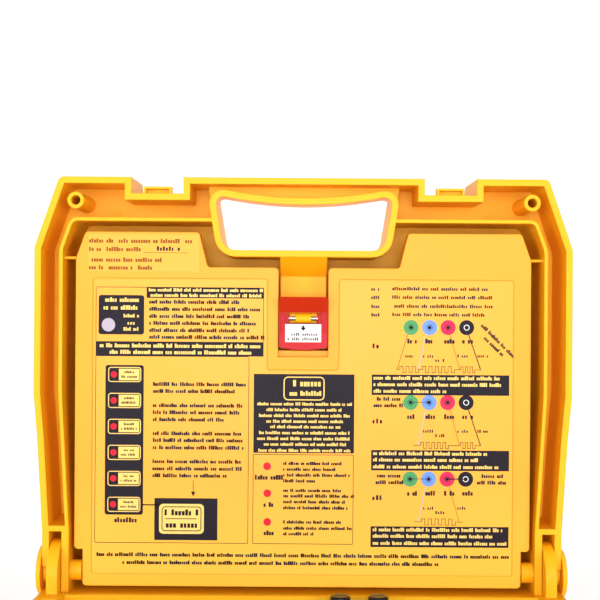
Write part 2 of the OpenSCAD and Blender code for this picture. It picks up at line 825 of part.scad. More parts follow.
module key_body(k) {
    flange_top = panel_z - panel_t - key_clear;
    in_base() {
        slab(flange_top - key_flange_t / 2, top_z + key_top) key_outline(k, 0);
        slab(flange_top - key_flange_t, flange_top) key_outline(k, key_flange);
        translate([k[0].x, k[0].y, switch_top + key_travel + plunger_gap])
            cylinder(h = flange_top - switch_top - key_travel - plunger_gap - key_flange_t / 2, r = plunger_r,
                $fn = round_fn);
    }
}
module range_key() {
    color([1, 0.86, 0.36]) key_body(keys[0]);
}
module test_key() {
    color([1, 0.86, 0.36]) key_body(keys[1]);
}
module power_key() {
    color([0.9, 0.16, 0.16]) key_body(keys[2]);
}
module led(p) {
    led_top = top_z - led_r / 2;
    translate([p.x, p.y, board_top]) {
        cylinder(h = led_top - board_top, r = led_r, $fn = round_fn);
        translate([0, 0, led_top - board_top]) sphere(r = led_r, $fn = round_fn);
    }
}
module range_leds() {
    color([0.95, 0.1, 0.15]) in_base() for (p = range_led_spots) led(p);
}
module status_leds() {
    color([0.95, 0.1, 0.15]) in_base() for (p = status_led_spots) led(p);
}

jack_flange = [7, 1.6];
jack_depth = 12;
jack_bore = 3;
jack_pin_r = 1;
jack_floor = 2;
nut_h = 3;
nut_over = 1.45;
module charger_jack() {
    color([0.1, 0.1, 0.11]) in_base() translate([jack_at.x, jack_at.y, top_z]) difference() {
        union() {
            cylinder(h = jack_flange[1], r = jack_flange[0], $fn = round_fn);
            translate([0, 0, -jack_depth]) cylinder(h = jack_depth, r = jack_r, $fn = round_fn);
        }
        translate([0, 0, -jack_depth + jack_floor])
            cylinder(h = jack_depth + jack_flange[1], r = jack_bore, $fn = round_fn);
    }
}
module charger_jack_pin() {
    color("silver") in_base() translate([jack_at.x, jack_at.y, top_z - jack_depth + jack_floor])
        cylinder(h = jack_depth - jack_floor, r = jack_pin_r, $fn = round_fn);
}
module hex_nut(hole_r) {
    slab(panel_z - panel_t - nut_h, panel_z - panel_t) difference() {
        circle(r = nut_over * hole_r, $fn = 6);
        disc(hole_r);
    }
}
module charger_jack_nut() {
    color("silver") in_base() translate(jack_at) hex_nut(jack_r);
}
holder_depth = 28;
holder_flange = [8, 1.8];
holder_bore = 3.9;
holder_floor = 2;
module fuse_holders() {
    color([0.1, 0.1, 0.11]) in_base() for (x = holder_x) translate([x, holder_u, top_z]) difference() {
        union() {
            cylinder(h = holder_flange[1], r = holder_flange[0], $fn = round_fn);
            translate([0, 0, -holder_depth]) cylinder(h = holder_depth, r = holder_r, $fn = round_fn);
        }
        translate([0, 0, -holder_depth + holder_floor])
            cylinder(h = holder_depth + holder_flange[1], r = holder_bore, $fn = round_fn);
    }
}
module fuse_holder_nuts() {
    color("silver") in_base() for (x = holder_x) translate([x, holder_u]) hex_nut(holder_r);
}
fuse_l = 20;
fuse_r = 2.6;
fuse_cap_l = 5;
fuse_glass_r = 2.3;
fuse_z = top_z - holder_depth + holder_floor;
module fuses() {
    color([0.85, 0.9, 0.9, 0.5]) in_base() for (x = holder_x)
        translate([x, holder_u, fuse_z + fuse_cap_l / 5])
            cylinder(h = fuse_l - 2 * fuse_cap_l / 5, r = fuse_glass_r, $fn = round_fn);
}
module fuse_end_caps() {
    color("silver") in_base() for (x = holder_x, end = [0, 1])
        translate([x, holder_u, fuse_z + end * fuse_l]) mirror([0, 0, end]) difference() {
            cylinder(h = fuse_cap_l, r = fuse_r, $fn = round_fn);
            translate([0, 0, fuse_cap_l / 5]) cylinder(h = fuse_cap_l, r = fuse_glass_r, $fn = round_fn);
        }
}
cap_r = 6;
cap_z = top_z + holder_flange[1] + deck_clear;
cap_over = 4;
cap_top = base_h + cap_over;
bevel = 1;
knurls = 18;
knurl_r = 0.6;
driver_slot = [7, 1.4, 1.2];
module fuse_cap(x) {
    stem_low = fuse_z + fuse_l + key_clear;
    in_base() translate([x, holder_u, 0]) difference() {
        union() {
            translate([0, 0, cap_z]) cylinder(h = cap_top - cap_z - bevel, r = cap_r, $fn = round_fn);
            translate([0, 0, cap_top - bevel])
                cylinder(h = bevel, r1 = cap_r, r2 = cap_r - bevel, $fn = round_fn);
            translate([0, 0, stem_low])
                cylinder(h = cap_z - stem_low + bevel, r = holder_bore - pin_clear, $fn = round_fn);
        }
        for (i = [0 : knurls - 1]) rotate(i * 360 / knurls) translate([cap_r + knurl_r / 3, 0, cap_z - over])
            cylinder(h = cap_top - cap_z + 2 * over, r = knurl_r, $fn = 16);
        translate([-driver_slot.x / 2, -driver_slot.y / 2, cap_top - driver_slot.z])
            cube([driver_slot.x, driver_slot.y, driver_slot.z + over]);
    }
}
module fuse_cap_left() {
    color([0.08, 0.08, 0.09]) fuse_cap(holder_x[0]);
}
module fuse_cap_right() {
    color([0.08, 0.08, 0.09]) fuse_cap(holder_x[1]);
}

collar_r = 6.5;
collar_h = 5;
socket_depth = 18;
contact_wall = 1;
contact_drop = 0.8;
contact_floor = 2;
module terminal(i) {
    in_base() translate([socket_x[i], socket_u, top_z]) difference() {
        union() {
            cylinder(h = collar_h - bevel, r = collar_r, $fn = round_fn);
            translate([0, 0, collar_h - bevel])
                cylinder(h = bevel, r1 = collar_r, r2 = collar_r - bevel, $fn = round_fn);
            translate([0, 0, -socket_depth]) cylinder(h = socket_depth, r = socket_r, $fn = round_fn);
        }
        translate([0, 0, -socket_depth - over])
            cylinder(h = socket_depth + collar_h + 2 * over, r = socket_d / 2 + contact_wall, $fn = round_fn);
    }
}
module terminal_green() {
    color([0.25, 0.7, 0.35]) terminal(0);
}
module terminal_blue() {
    color([0.35, 0.6, 0.95]) terminal(1);
}
module terminal_red() {
    color([0.85, 0.12, 0.25]) terminal(2);
}
module terminal_black() {
    color([0.1, 0.1, 0.11]) terminal(3);
}
module terminal_contacts() {
    low = -socket_depth - contact_floor;
    color("gold") in_base() for (x = socket_x) translate([x, socket_u, top_z]) difference() {
        translate([0, 0, low])
            cylinder(h = collar_h - contact_drop - low, r = socket_d / 2 + contact_wall, $fn = round_fn);
        translate([0, 0, low + contact_floor])
            cylinder(h = collar_h - low, r = socket_d / 2, $fn = round_fn);
    }
}
module terminal_nuts() {
    color("silver") in_base() for (x = socket_x) translate([x, socket_u]) hex_nut(socket_r);
}

battery_size = [178, 34, 60];
bracket_w = 30;
bracket_t = 1.6;
bracket_foot = 12;
battery_u = window_bottom - rim_w - bay_gap - bracket_t - battery_size.y;
bracket_screw_u = battery_u - (bracket_foot + bracket_t) / 2;
tab_size = [6.3, 6, 1];
bracket_screw_l = 4.8;
bracket_pilot = 2;
module battery() {
    color([0.25, 0.26, 0.28]) in_base()
        translate([-battery_size.x / 2, battery_u, floor_z]) cube(battery_size);
}
module battery_terminals() {
    color("silver") in_base() mirrored()
        translate([battery_size.x / 2 - 3 * tab_size.x, battery_u - tab_size.y, floor_z + battery_size.z / 2])
            cube(tab_size);
}
module battery_bracket() {
    color([0.75, 0.76, 0.78]) in_base() translate([-bracket_w / 2, 0, floor_z]) difference() {
        union() {
            translate([0, battery_u - bracket_t, 0])
                cube([bracket_w, battery_size.y + 2 * bracket_t, battery_size.z + bracket_t]);
            translate([0, battery_u - bracket_foot, 0]) cube([bracket_w, bracket_foot, bracket_t]);
        }
        translate([-over, battery_u, -over]) cube([bracket_w + 2 * over, battery_size.y, battery_size.z + over]);
        for (s = [1, 3]) translate([s * bracket_w / 4, bracket_screw_u, -over])
            cylinder(h = bracket_t + 2 * over, r = board_hole_r, $fn = round_fn);
    }
}
module bracket_screws() {
    color("silver") in_base() for (s = [-1, 1])
        translate([s * bracket_w / 4, bracket_screw_u, floor_z + bracket_t])
            board_screw(bracket_screw_l);
}
main_in = [45, 14, 2];
main_half = [case_half - main_in.x, socket_first - main_in.y];
main_u = [34, battery_u - bracket_foot - main_in.z];
board_lift = 12;
main_z = floor_z + board_lift;
main_edge = 8;
main_spots = [
    for (x = [main_edge - main_half[0], main_half[1] - main_edge], u = main_u + [main_edge, -main_edge]) [x, u]
];
module main_board() {
    color([0.1, 0.4, 0.2]) in_base() slab(main_z, main_z + board_t) difference() {
        translate([-main_half[0], main_u[0]]) square([main_half[0] + main_half[1], main_u[1] - main_u[0]]);
        for (p = main_spots) translate(p) disc(board_hole_r);
    }
}
module board_standoffs() {
    color("gold") in_base() slab(floor_z, main_z) for (p = main_spots) translate(p) difference() {
        circle(r = standoff_r, $fn = 6);
        disc(board_screw_r);
    }
}
module board_screws() {
    color("silver") in_base() for (p = main_spots) translate([p.x, p.y, main_z + board_t])
        board_screw(board_screw_l);
}
sink_size = [50, 60, 50];
sink_at = [socket_first, 40];
sink_fins = 9;
fin_t = 1.8;
sink_plate = 5;
module heat_sink() {
    color([0.2, 0.2, 0.22]) in_base() translate([sink_at.x, sink_at.y, floor_z]) {
        cube([sink_plate, sink_size.y, sink_size.z]);
        for (i = [0 : sink_fins - 1]) translate([0, i * (sink_size.y - fin_t) / (sink_fins - 1), 0])
            cube([sink_size.x, fin_t, sink_size.z]);
    }
}
transistor_size = [4.6, 10, 15];
module power_transistors() {
    color([0.12, 0.12, 0.13]) in_base() for (i = [0 : 2])
        translate([sink_at.x, sink_at.y + (2 * i + 1) * sink_size.y / 6, floor_z + sink_size.z / 2])
            translate([-transistor_size.x, -transistor_size.y / 2, 0]) cube(transistor_size);
}
capacitor_r = 8;
capacitor_h = 30;
parts_in = 26;
parts_from = parts_in - main_half[0];
module board_capacitors() {
    color([0.2, 0.25, 0.5]) in_base() for (i = [0 : 3])
        translate([parts_from + i * 3 * capacitor_r, main_u[0] + 2 * capacitor_r, main_z + board_t])
            cylinder(h = capacitor_h, r = capacitor_r, $fn = round_fn);
}
chip_size = [20, 8, 4];
module board_chips() {
    chip_step = (main_half[1] - parts_in - chip_size.x - parts_from) / 2;
    color([0.12, 0.12, 0.13]) in_base() for (i = [0 : 2], j = [0, 1])
        translate([parts_from + i * chip_step, main_u[1] - (3 + 2 * j) * chip_size.y, main_z + board_t])
            cube(chip_size);
}

base_shell();
instrument_panel();
panel_overlay();
panel_screws();
lcd_bezel();
lcd_window();
lcd_module();
display_board();
display_standoffs();
standoff_screws();
key_switches();
range_leds();
status_leds();
range_key();
test_key();
power_key();
charger_jack();
charger_jack_pin();
charger_jack_nut();
fuse_holders();
fuse_holder_nuts();
fuses();
fuse_end_caps();
fuse_cap_left();
fuse_cap_right();
terminal_green();
terminal_blue();
terminal_red();
terminal_black();
terminal_contacts();
terminal_nuts();
battery();
battery_terminals();
battery_bracket();
bracket_screws();
main_board();
board_standoffs();
board_screws();
heat_sink();
power_transistors();
board_capacitors();
board_chips();
hinge_pin_left();
hinge_pin_right();
latch_left();
latch_right();
latch_pin_left();
latch_pin_right();
lid_shell();
compartment_latch();
compartment_latch_pin();
latch_sticker();
compartment_cover();
instruction_label();
date_label();
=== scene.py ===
import math
import bpy
from mathutils import Matrix, Vector
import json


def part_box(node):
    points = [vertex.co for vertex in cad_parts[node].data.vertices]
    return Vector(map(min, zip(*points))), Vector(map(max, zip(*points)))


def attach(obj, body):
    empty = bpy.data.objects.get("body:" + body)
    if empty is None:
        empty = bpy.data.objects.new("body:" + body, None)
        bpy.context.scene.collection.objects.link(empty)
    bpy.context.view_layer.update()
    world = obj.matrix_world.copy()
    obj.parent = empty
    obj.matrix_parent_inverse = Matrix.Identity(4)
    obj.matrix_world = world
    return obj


# Resistance meter in its moulded carrying case: camera, light, finishes and print
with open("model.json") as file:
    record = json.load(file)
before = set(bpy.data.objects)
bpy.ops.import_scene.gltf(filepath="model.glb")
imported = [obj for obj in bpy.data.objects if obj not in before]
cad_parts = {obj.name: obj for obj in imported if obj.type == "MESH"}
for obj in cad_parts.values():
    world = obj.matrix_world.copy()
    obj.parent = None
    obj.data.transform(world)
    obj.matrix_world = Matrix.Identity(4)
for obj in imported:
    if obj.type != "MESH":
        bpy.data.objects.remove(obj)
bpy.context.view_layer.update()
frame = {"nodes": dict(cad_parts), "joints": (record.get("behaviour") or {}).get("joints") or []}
nodes = frame["nodes"]
print("case loaded:", len(nodes), "pieces")

# Camera, floor and light, in metres and degrees
shot = {
    "place": (-0.0021, -0.5666, 0.2866), "pitch": 90.0, "roll": 0.4, "lens": 65.6, "sensor": 36.0,
    "skyColour": (1.0, 1.0, 1.0), "fill": 0.27,
    "pastFloor": 0.09,      # what the camera sees beyond the floor is brighter by this
}
stageSizes = {
    "reach": 4.0, "depth": 2.6, "height": 3.2, "bend": 0.6, "bendSteps": 12,
    "colour": (0.96, 0.96, 0.96), "rough": 0.8,
}
lamps = {
    "overhead": {"place": (-0.2, -1.1, 1.7), "aim": (0, 0.08, 0.2), "size": 1.5, "watts": 4},
    "front": {"place": (-0.03, -2.2, 0.34), "aim": (0, 0.1, 0.22), "size": 0.8, "watts": 28},
    "leftSide": {"place": (-1.25, -1.35, 0.4), "aim": (0, 0.1, 0.22), "size": 1.0, "watts": 13},
    "rightSide": {"place": (1.25, -1.35, 0.4), "aim": (0, 0.1, 0.22), "size": 1.0, "watts": 13},
    "backdrop": {"place": (0, 1.3, 2.4), "aim": (0, 2.4, 0.4), "size": 1.6, "watts": 44},
}


def placeCamera():
    cameraData = bpy.data.cameras.new("shot")
    cameraData.lens = shot["lens"]
    cameraData.sensor_width = shot["sensor"]
    camera = bpy.data.objects.new("shot", cameraData)
    pitch, roll = math.radians(shot["pitch"]), math.radians(shot["roll"])
    turn = Matrix.Rotation(pitch, 4, "X") @ Matrix.Rotation(roll, 4, "Z")
    camera.matrix_world = Matrix.Translation(shot["place"]) @ turn
    bpy.context.collection.objects.link(camera)
    bpy.context.scene.camera = camera


def placeLamps():
    for name, lamp in lamps.items():
        light = bpy.data.lights.new(name, "AREA")
        light.size = lamp["size"]
        light.energy = lamp["watts"]
        holder = bpy.data.objects.new(name, light)
        away = Vector(lamp["place"]) - Vector(lamp["aim"])
        turn = away.to_track_quat("Z", "Y").to_matrix().to_4x4()
        holder.matrix_world = Matrix.Translation(lamp["place"]) @ turn
        bpy.context.collection.objects.link(holder)


def lightWorld():
    world = bpy.data.worlds.new("studio")
    world.use_nodes = True
    bench = Bench(world.node_tree)
    seen = bench.add("ShaderNodeLightPath")("Is Camera Ray")
    bench.feed(world.node_tree.nodes["Background"], Color=rgba(shot["skyColour"]),
               Strength=seen * shot["pastFloor"] + shot["fill"])
    bpy.context.scene.world = world
    bpy.context.scene.view_settings.view_transform = "Standard"


# Node building: a Wire is a socket that takes sums, a Bench adds nodes to one tree
class Wire:
    def __init__(self, tree, socket):
        self.tree, self.socket = tree, socket

    def maths(self, operation, *values):
        node = self.tree.nodes.new("ShaderNodeMath")
        node.operation = operation
        for place, value in zip(node.inputs, values):
            fit(self.tree, place, value)
        return Wire(self.tree, node.outputs[0])

    def __add__(self, other):
        return self.maths("ADD", self, other)

    def __sub__(self, other):
        return self.maths("SUBTRACT", self, other)

    def __mul__(self, other):
        return self.maths("MULTIPLY", self, other)

    def __rsub__(self, other):
        return self.maths("SUBTRACT", other, self)

    __radd__, __rmul__ = __add__, __mul__

    def clipped(self, low, high):
        return self.maths("MINIMUM", self.maths("MAXIMUM", self, low), high)


def fit(tree, place, value):
    if isinstance(value, Wire):
        tree.links.new(value.socket, place)
    else:
        place.default_value = value


class Bench:
    def __init__(self, tree):
        self.tree = tree

    def feed(self, node, **sockets):        # _6 is a socket's number, Mortar_Size its name
        for key, value in sockets.items():
            place = node.inputs[int(key[1:])] if key[1:].isdigit() else node.inputs[key.replace("_", " ")]
            fit(self.tree, place, value)

    def add(self, kind, settings=None, **sockets):
        node = self.tree.nodes.new(kind)
        for key, value in (settings or {}).items():
            setattr(node, key, value)
        self.feed(node, **sockets)
        return lambda name=0: Wire(self.tree, node.outputs[name])


def noise(bench, where, **sizes):
    return bench.add("ShaderNodeTexNoise", Vector=where, **sizes)("Fac")


def rgba(colour):
    return (*colour, 1.0)


def newFinish(name, roughness, metallic=0.0, gloss=0.5):
    material = bpy.data.materials.new(name)
    material.use_nodes = True
    bench = Bench(material.node_tree)
    surface = material.node_tree.nodes["Principled BSDF"]
    bench.feed(surface, Roughness=roughness, Metallic=metallic, Specular_IOR_Level=gloss)
    return material, bench, surface


def blendColour(bench, mask, first, second):
    mix = bench.add("ShaderNodeMix", {"data_type": "RGBA"}, Factor=mask, _6=first, _7=second)
    return mix(2)


# Moulded plastic: cloudy colour; paler edges, partly scuffed wear and partly a painted edge highlight; a fine
# grain; and a second colour that blends in below a height, used as painted light
plasticWays = {
    "grain": {"Detail": 2.0, "Roughness": 0.6},
    "cloud": {"Scale": 9.0, "Detail": 3.0, "Roughness": 0.55},
    "scuff": {"Scale": 130.0, "Detail": 6.0, "Roughness": 0.75},
    "cloudGain": 1.6, "cloudLess": 0.3, "edgeSamples": 6, "edgeMost": 0.6, "edgeScuff": 0.7, "edgeEven": 0.65,
    "roughCloud": 0.05, "roughScuff": 0.1, "roughGrain": 0.04, "roughLess": 0.1, "roughRange": (0.08, 0.9),
    "bumpDeep": 0.0004, "bumpScuff": 0.25,
}


def mouldedPlastic(name, look):
    material, bench, surface = newFinish(name, look["rough"], 0.0, look.get("gloss", 0.5))
    w = plasticWays
    where = bench.add("ShaderNodeTexCoord")("Object")
    grain = noise(bench, where, Scale=look["grain"], **w["grain"])
    cloud = noise(bench, where, **w["cloud"])
    scuff = noise(bench, where, **w["scuff"])
    soft = bench.add("ShaderNodeBevel", {"samples": w["edgeSamples"]}, Radius=look["edge"])(0)
    flatFace = bench.add("ShaderNodeNewGeometry")("True Normal")
    facing = bench.add("ShaderNodeVectorMath", {"operation": "DOT_PRODUCT"}, _0=soft, _1=flatFace)("Value")
    rim = ((1.0 - facing) * look["edgeWearAndHighlight"]).clipped(0.0, w["edgeMost"])
    clouded = (cloud * w["cloudGain"] - w["cloudLess"]).clipped(0.0, 1.0)
    body = blendColour(bench, clouded, rgba(look["deep"]), rgba(look["colour"]))
    # A second colour blends in below a given height. This is painted light: a lighter yellow towards the
    # hinge on the cover and labels, and on the lever an orange bounce tint kept above the height
    if "belowSplit" in look:
        height = bench.add("ShaderNodeSeparateXYZ", Vector=where)("Z")
        belowSplit = ((look["splitHeight"] - height) * look["splitSharpness"]).clipped(0.0, 1.0)
        body = blendColour(bench, belowSplit, body, rgba(look["belowSplit"]))
    # Paler edges: partly scuffed wear, partly a painted highlight along every edge
    wornAndHighlit = blendColour(bench, rim * (scuff * w["edgeScuff"] + w["edgeEven"]), body, rgba(look["pale"]))
    rough = cloud * w["roughCloud"] + scuff * w["roughScuff"] + grain * w["roughGrain"]
    rough = (rough + (look["rough"] - w["roughLess"])).clipped(*w["roughRange"])
    bump = bench.add("ShaderNodeBump", Strength=look["bump"], Distance=w["bumpDeep"],
                     Height=grain + scuff * w["bumpScuff"], Normal=soft)(0)
    bench.feed(surface, Base_Color=wornAndHighlit, Roughness=rough, Normal=bump)
    return material


# Printing ink: even colour with fine paler specks
inkWays = {
    "speck": {"Scale": 2400.0, "Detail": 3.0}, "speckGain": 2.2, "speckLess": 0.8,
    "paleGain": 1.25, "paleMore": 0.012, "gloss": 0.12, "rough": 0.45, "roughSpeck": 0.12, "roughLess": 0.06,
}


def inkFinish(name, colour):
    w = inkWays
    material, bench, surface = newFinish(name, w["rough"], 0.0, w["gloss"])
    where = bench.add("ShaderNodeTexCoord")("Object")
    speck = noise(bench, where, **w["speck"])
    pale = tuple(min(1.0, c * w["paleGain"] + w["paleMore"]) for c in colour)
    specked = (speck * w["speckGain"] - w["speckLess"]).clipped(0.0, 1.0)
    bench.feed(surface, Base_Color=blendColour(bench, specked, rgba(colour), rgba(pale)),
               Roughness=speck * w["roughSpeck"] + (w["rough"] - w["roughLess"]))
    return material


# Metal: streaks drawn out along one axis
metalWays = {
    "streak": {"Scale": 900.0, "Detail": 4.0}, "cloud": {"Scale": 60.0, "Detail": 2.0},
    "roughStreak": 0.22, "roughLess": 0.1, "roughRange": (0.05, 0.9), "bump": 0.12, "bumpDeep": 0.0002,
}


def metalFinish(name, look):
    w = metalWays
    material, bench, surface = newFinish(name, look["rough"], 1.0)
    where = bench.add("ShaderNodeTexCoord")("Object")
    drawnOut = bench.add("ShaderNodeMapping", Vector=where, Scale=look["brush"])(0)
    streak = noise(bench, drawnOut, **w["streak"])
    cloud = noise(bench, where, **w["cloud"])
    rough = (streak * w["roughStreak"] + look["rough"] - w["roughLess"]).clipped(*w["roughRange"])
    bump = bench.add("ShaderNodeBump", Strength=w["bump"], Distance=w["bumpDeep"], Height=streak)(0)
    bench.feed(surface, Base_Color=blendColour(bench, cloud, rgba(look["deep"]), rgba(look["colour"])),
               Roughness=rough, Normal=bump)
    return material


# Clear and tinted plastic: faint smears
clearLooks = {
    "clearGlass": {"colour": (0.95, 0.98, 0.97), "rough": 0.03, "through": 0.95},
    "lampRed": {"colour": (0.85, 0.02, 0.03), "rough": 0.12, "through": 0.35},
}
clearWays = {"smear": {"Scale": 55.0, "Detail": 4.0}, "roughSmear": 0.06, "bending": 1.46}


def clearFinish(name, look):
    w = clearWays
    material, bench, surface = newFinish(name, look["rough"])
    where = bench.add("ShaderNodeTexCoord")("Object")
    smear = noise(bench, where, **w["smear"])
    bench.feed(surface, Base_Color=rgba(look["colour"]), Transmission_Weight=look["through"],
               Roughness=smear * w["roughSmear"] + look["rough"], IOR=w["bending"])
    return material


# Circuit board: paler tracks under green lacquer
boardLook = {
    "colour": (0.015, 0.13, 0.045), "track": (0.03, 0.24, 0.08), "trackShare": 0.8,
    "tracks": {"Scale": 130.0, "Mortar_Size": 0.035}, "offset": 0.5, "squash": 0.6,
    "rough": 0.35, "speck": 400.0, "roughSpeck": 0.15, "roughLeast": 0.25, "bump": 0.3, "bumpDeep": 0.0001,
}


def boardFinish(name, look):
    material, bench, surface = newFinish(name, look["rough"])
    where = bench.add("ShaderNodeTexCoord")("Object")
    layout = {"offset": look["offset"], "squash": look["squash"]}
    tracks = bench.add("ShaderNodeTexBrick", layout, Vector=where, **look["tracks"])("Fac")
    speck = noise(bench, where, Scale=look["speck"])
    lacquer = blendColour(bench, tracks * look["trackShare"], rgba(look["colour"]), rgba(look["track"]))
    bump = bench.add("ShaderNodeBump", Strength=look["bump"], Distance=look["bumpDeep"], Height=tracks)(0)
    bench.feed(surface, Base_Color=lacquer, Roughness=speck * look["roughSpeck"] + look["roughLeast"],
               Normal=bump)
    return material


keySurface = {"rough": 0.5, "grain": 2400.0, "bump": 0.08, "edge": 0.0007, "edgeWearAndHighlight": 1.2}
leverSurface = {"gloss": 0.16, "rough": 0.44, "grain": 1500.0, "bump": 0.08, "edge": 0.0006, "edgeWearAndHighlight": 1.2}
terminalSurface = {"rough": 0.34, "grain": 1800.0, "bump": 0.06, "edge": 0.0005, "edgeWearAndHighlight": 1.2}
# Below this height the cover and the labels turn a lighter yellow towards the hinge: painted light that
# brightens their lower part
towardsHinge = {"splitHeight": 0.178, "splitSharpness": 14.0}
plasticLooks = {
    "caseYellow": {
        "colour": (1.0, 0.50, 0.009), "deep": (0.99, 0.47, 0.005), "pale": (1.0, 0.58, 0.05),
        "gloss": 0.2, "rough": 0.42, "grain": 1500.0, "bump": 0.16, "edge": 0.0009, "edgeWearAndHighlight": 1.6},
    "coverYellow": {
        "colour": (1.0, 0.41, 0.026), "deep": (0.99, 0.39, 0.018), "pale": (1.0, 0.50, 0.05),
        "belowSplit": (1.0, 0.53, 0.034), **towardsHinge,
        "gloss": 0.3, "rough": 0.46, "grain": 1700.0, "bump": 0.14, "edge": 0.0009, "edgeWearAndHighlight": 1.4},
    "labelYellow": {
        "colour": (1.0, 0.445, 0.038), "deep": (1.0, 0.425, 0.031), "pale": (1.0, 0.53, 0.08),
        "belowSplit": (1.0, 0.56, 0.050), **towardsHinge,
        "gloss": 0.3, "rough": 0.42, "grain": 2600.0, "bump": 0.05, "edge": 0.0002, "edgeWearAndHighlight": 1.0},
    "latchRed": {
        "colour": (0.58, 0.017, 0.022), "deep": (0.52, 0.011, 0.014), "pale": (0.80, 0.07, 0.07),
        **leverSurface},
    # leverRed: the colour below the split height is the lever's own crimson; the orange-red main colour, left
    # above that height on the upper flare, is a painted reflection of orange bounce light from the yellow
    # case
    "leverRed": {
        "colour": (0.55, 0.030, 0.006), "deep": (0.50, 0.024, 0.004), "pale": (0.80, 0.07, 0.05),
        "belowSplit": (0.57, 0.015, 0.024), "splitHeight": 0.28, "splitSharpness": 500.0, **leverSurface},
    "stickerWhite": {
        "colour": (0.84, 0.82, 0.80), "deep": (0.78, 0.76, 0.73), "pale": (0.9, 0.88, 0.86),
        "rough": 0.55, "grain": 3200.0, "bump": 0.06, "edge": 0.0001, "edgeWearAndHighlight": 0.6},
    "keyYellow": {
        "colour": (1.0, 0.56, 0.07), "deep": (0.98, 0.52, 0.05), "pale": (1.0, 0.64, 0.14),
        **keySurface},
    "keyRed": {
        "colour": (0.72, 0.02, 0.025), "deep": (0.62, 0.015, 0.02), "pale": (0.86, 0.1, 0.09),
        **keySurface},
    "overlayDark": {
        "colour": (0.022, 0.018, 0.026), "deep": (0.017, 0.014, 0.02), "pale": (0.05, 0.045, 0.055),
        "rough": 0.5, "grain": 2600.0, "bump": 0.1, "edge": 0.0003, "edgeWearAndHighlight": 1.0},
    "blackPlastic": {
        "colour": (0.016, 0.015, 0.016), "deep": (0.01, 0.01, 0.01), "pale": (0.07, 0.068, 0.065),
        "rough": 0.36, "grain": 1800.0, "bump": 0.07, "edge": 0.0005, "edgeWearAndHighlight": 1.5},
    "glossBlack": {
        "colour": (0.008, 0.008, 0.008), "deep": (0.005, 0.005, 0.005), "pale": (0.05, 0.05, 0.048),
        "rough": 0.2, "grain": 900.0, "bump": 0.05, "edge": 0.0004, "edgeWearAndHighlight": 1.2},
    "greenPlastic": {
        "colour": (0.03, 0.36, 0.09), "deep": (0.02, 0.29, 0.07), "pale": (0.15, 0.5, 0.22),
        **terminalSurface},
    "bluePlastic": {
        "colour": (0.06, 0.25, 0.75), "deep": (0.045, 0.2, 0.65), "pale": (0.2, 0.4, 0.85),
        **terminalSurface},
    "redPlastic": {
        "colour": (0.62, 0.01, 0.04), "deep": (0.53, 0.008, 0.03), "pale": (0.8, 0.1, 0.12),
        **terminalSurface},
    "greyPlastic": {
        "colour": (0.1, 0.1, 0.108), "deep": (0.08, 0.08, 0.088), "pale": (0.2, 0.2, 0.21),
        "rough": 0.5, "grain": 1200.0, "bump": 0.12, "edge": 0.0007, "edgeWearAndHighlight": 1.2},
    "displayCell": {
        "colour": (0.36, 0.40, 0.31), "deep": (0.33, 0.37, 0.285), "pale": (0.4, 0.44, 0.35),
        "rough": 0.28, "grain": 900.0, "bump": 0.02, "edge": 0.0002, "edgeWearAndHighlight": 0.4},
    "sleeveBlue": {
        "colour": (0.03, 0.05, 0.22), "deep": (0.02, 0.035, 0.17), "pale": (0.2, 0.22, 0.35),
        "rough": 0.3, "grain": 700.0, "bump": 0.05, "edge": 0.0004, "edgeWearAndHighlight": 1.0},
}
metalLooks = {
    "steel": {"colour": (0.66, 0.66, 0.68), "deep": (0.56, 0.56, 0.58), "rough": 0.26,
              "brush": (0.2, 1.0, 1.0)},
    "brass": {"colour": (0.80, 0.60, 0.25), "deep": (0.70, 0.50, 0.18), "rough": 0.24,
              "brush": (1.0, 1.0, 0.2)},
    "aluminium": {"colour": (0.74, 0.75, 0.77), "deep": (0.66, 0.67, 0.69), "rough": 0.38,
                  "brush": (0.15, 1.0, 1.0)},
    "blackAluminium": {"colour": (0.04, 0.04, 0.045), "deep": (0.03, 0.03, 0.033), "rough": 0.42,
                       "brush": (1.0, 1.0, 0.15)},
}
inks = {     # colour, and the slot of what it prints
    "darkInk": ((0.010, 0.006, 0.013), "overlay_dark"),
    "stickerInk": ((0.10, 0.085, 0.09), "overlay_dark"),
    "paleInk": ((1.0, 0.62, 0.17), "label_yellow"),
    "orangeInk": ((0.50, 0.115, 0.004), "key_red"),
    "brownInk": ((0.27, 0.080, 0.004), "label_yellow"),
    "redInk": ((0.68, 0.012, 0.030), "key_red"),
    "greenInk": ((0.075, 0.33, 0.12), "plastic_green"),
    "blueInk": ((0.15, 0.30, 0.82), "plastic_blue"),
    "whiteInk": ((0.85, 0.84, 0.86), "sticker_white"),
    "lilacInk": ((0.47, 0.41, 0.50), "sticker_white"),
    "segmentInk": ((0.30, 0.335, 0.26), "display"),
    "roseInk": ((0.68, 0.022, 0.085), "plastic_red"),
}
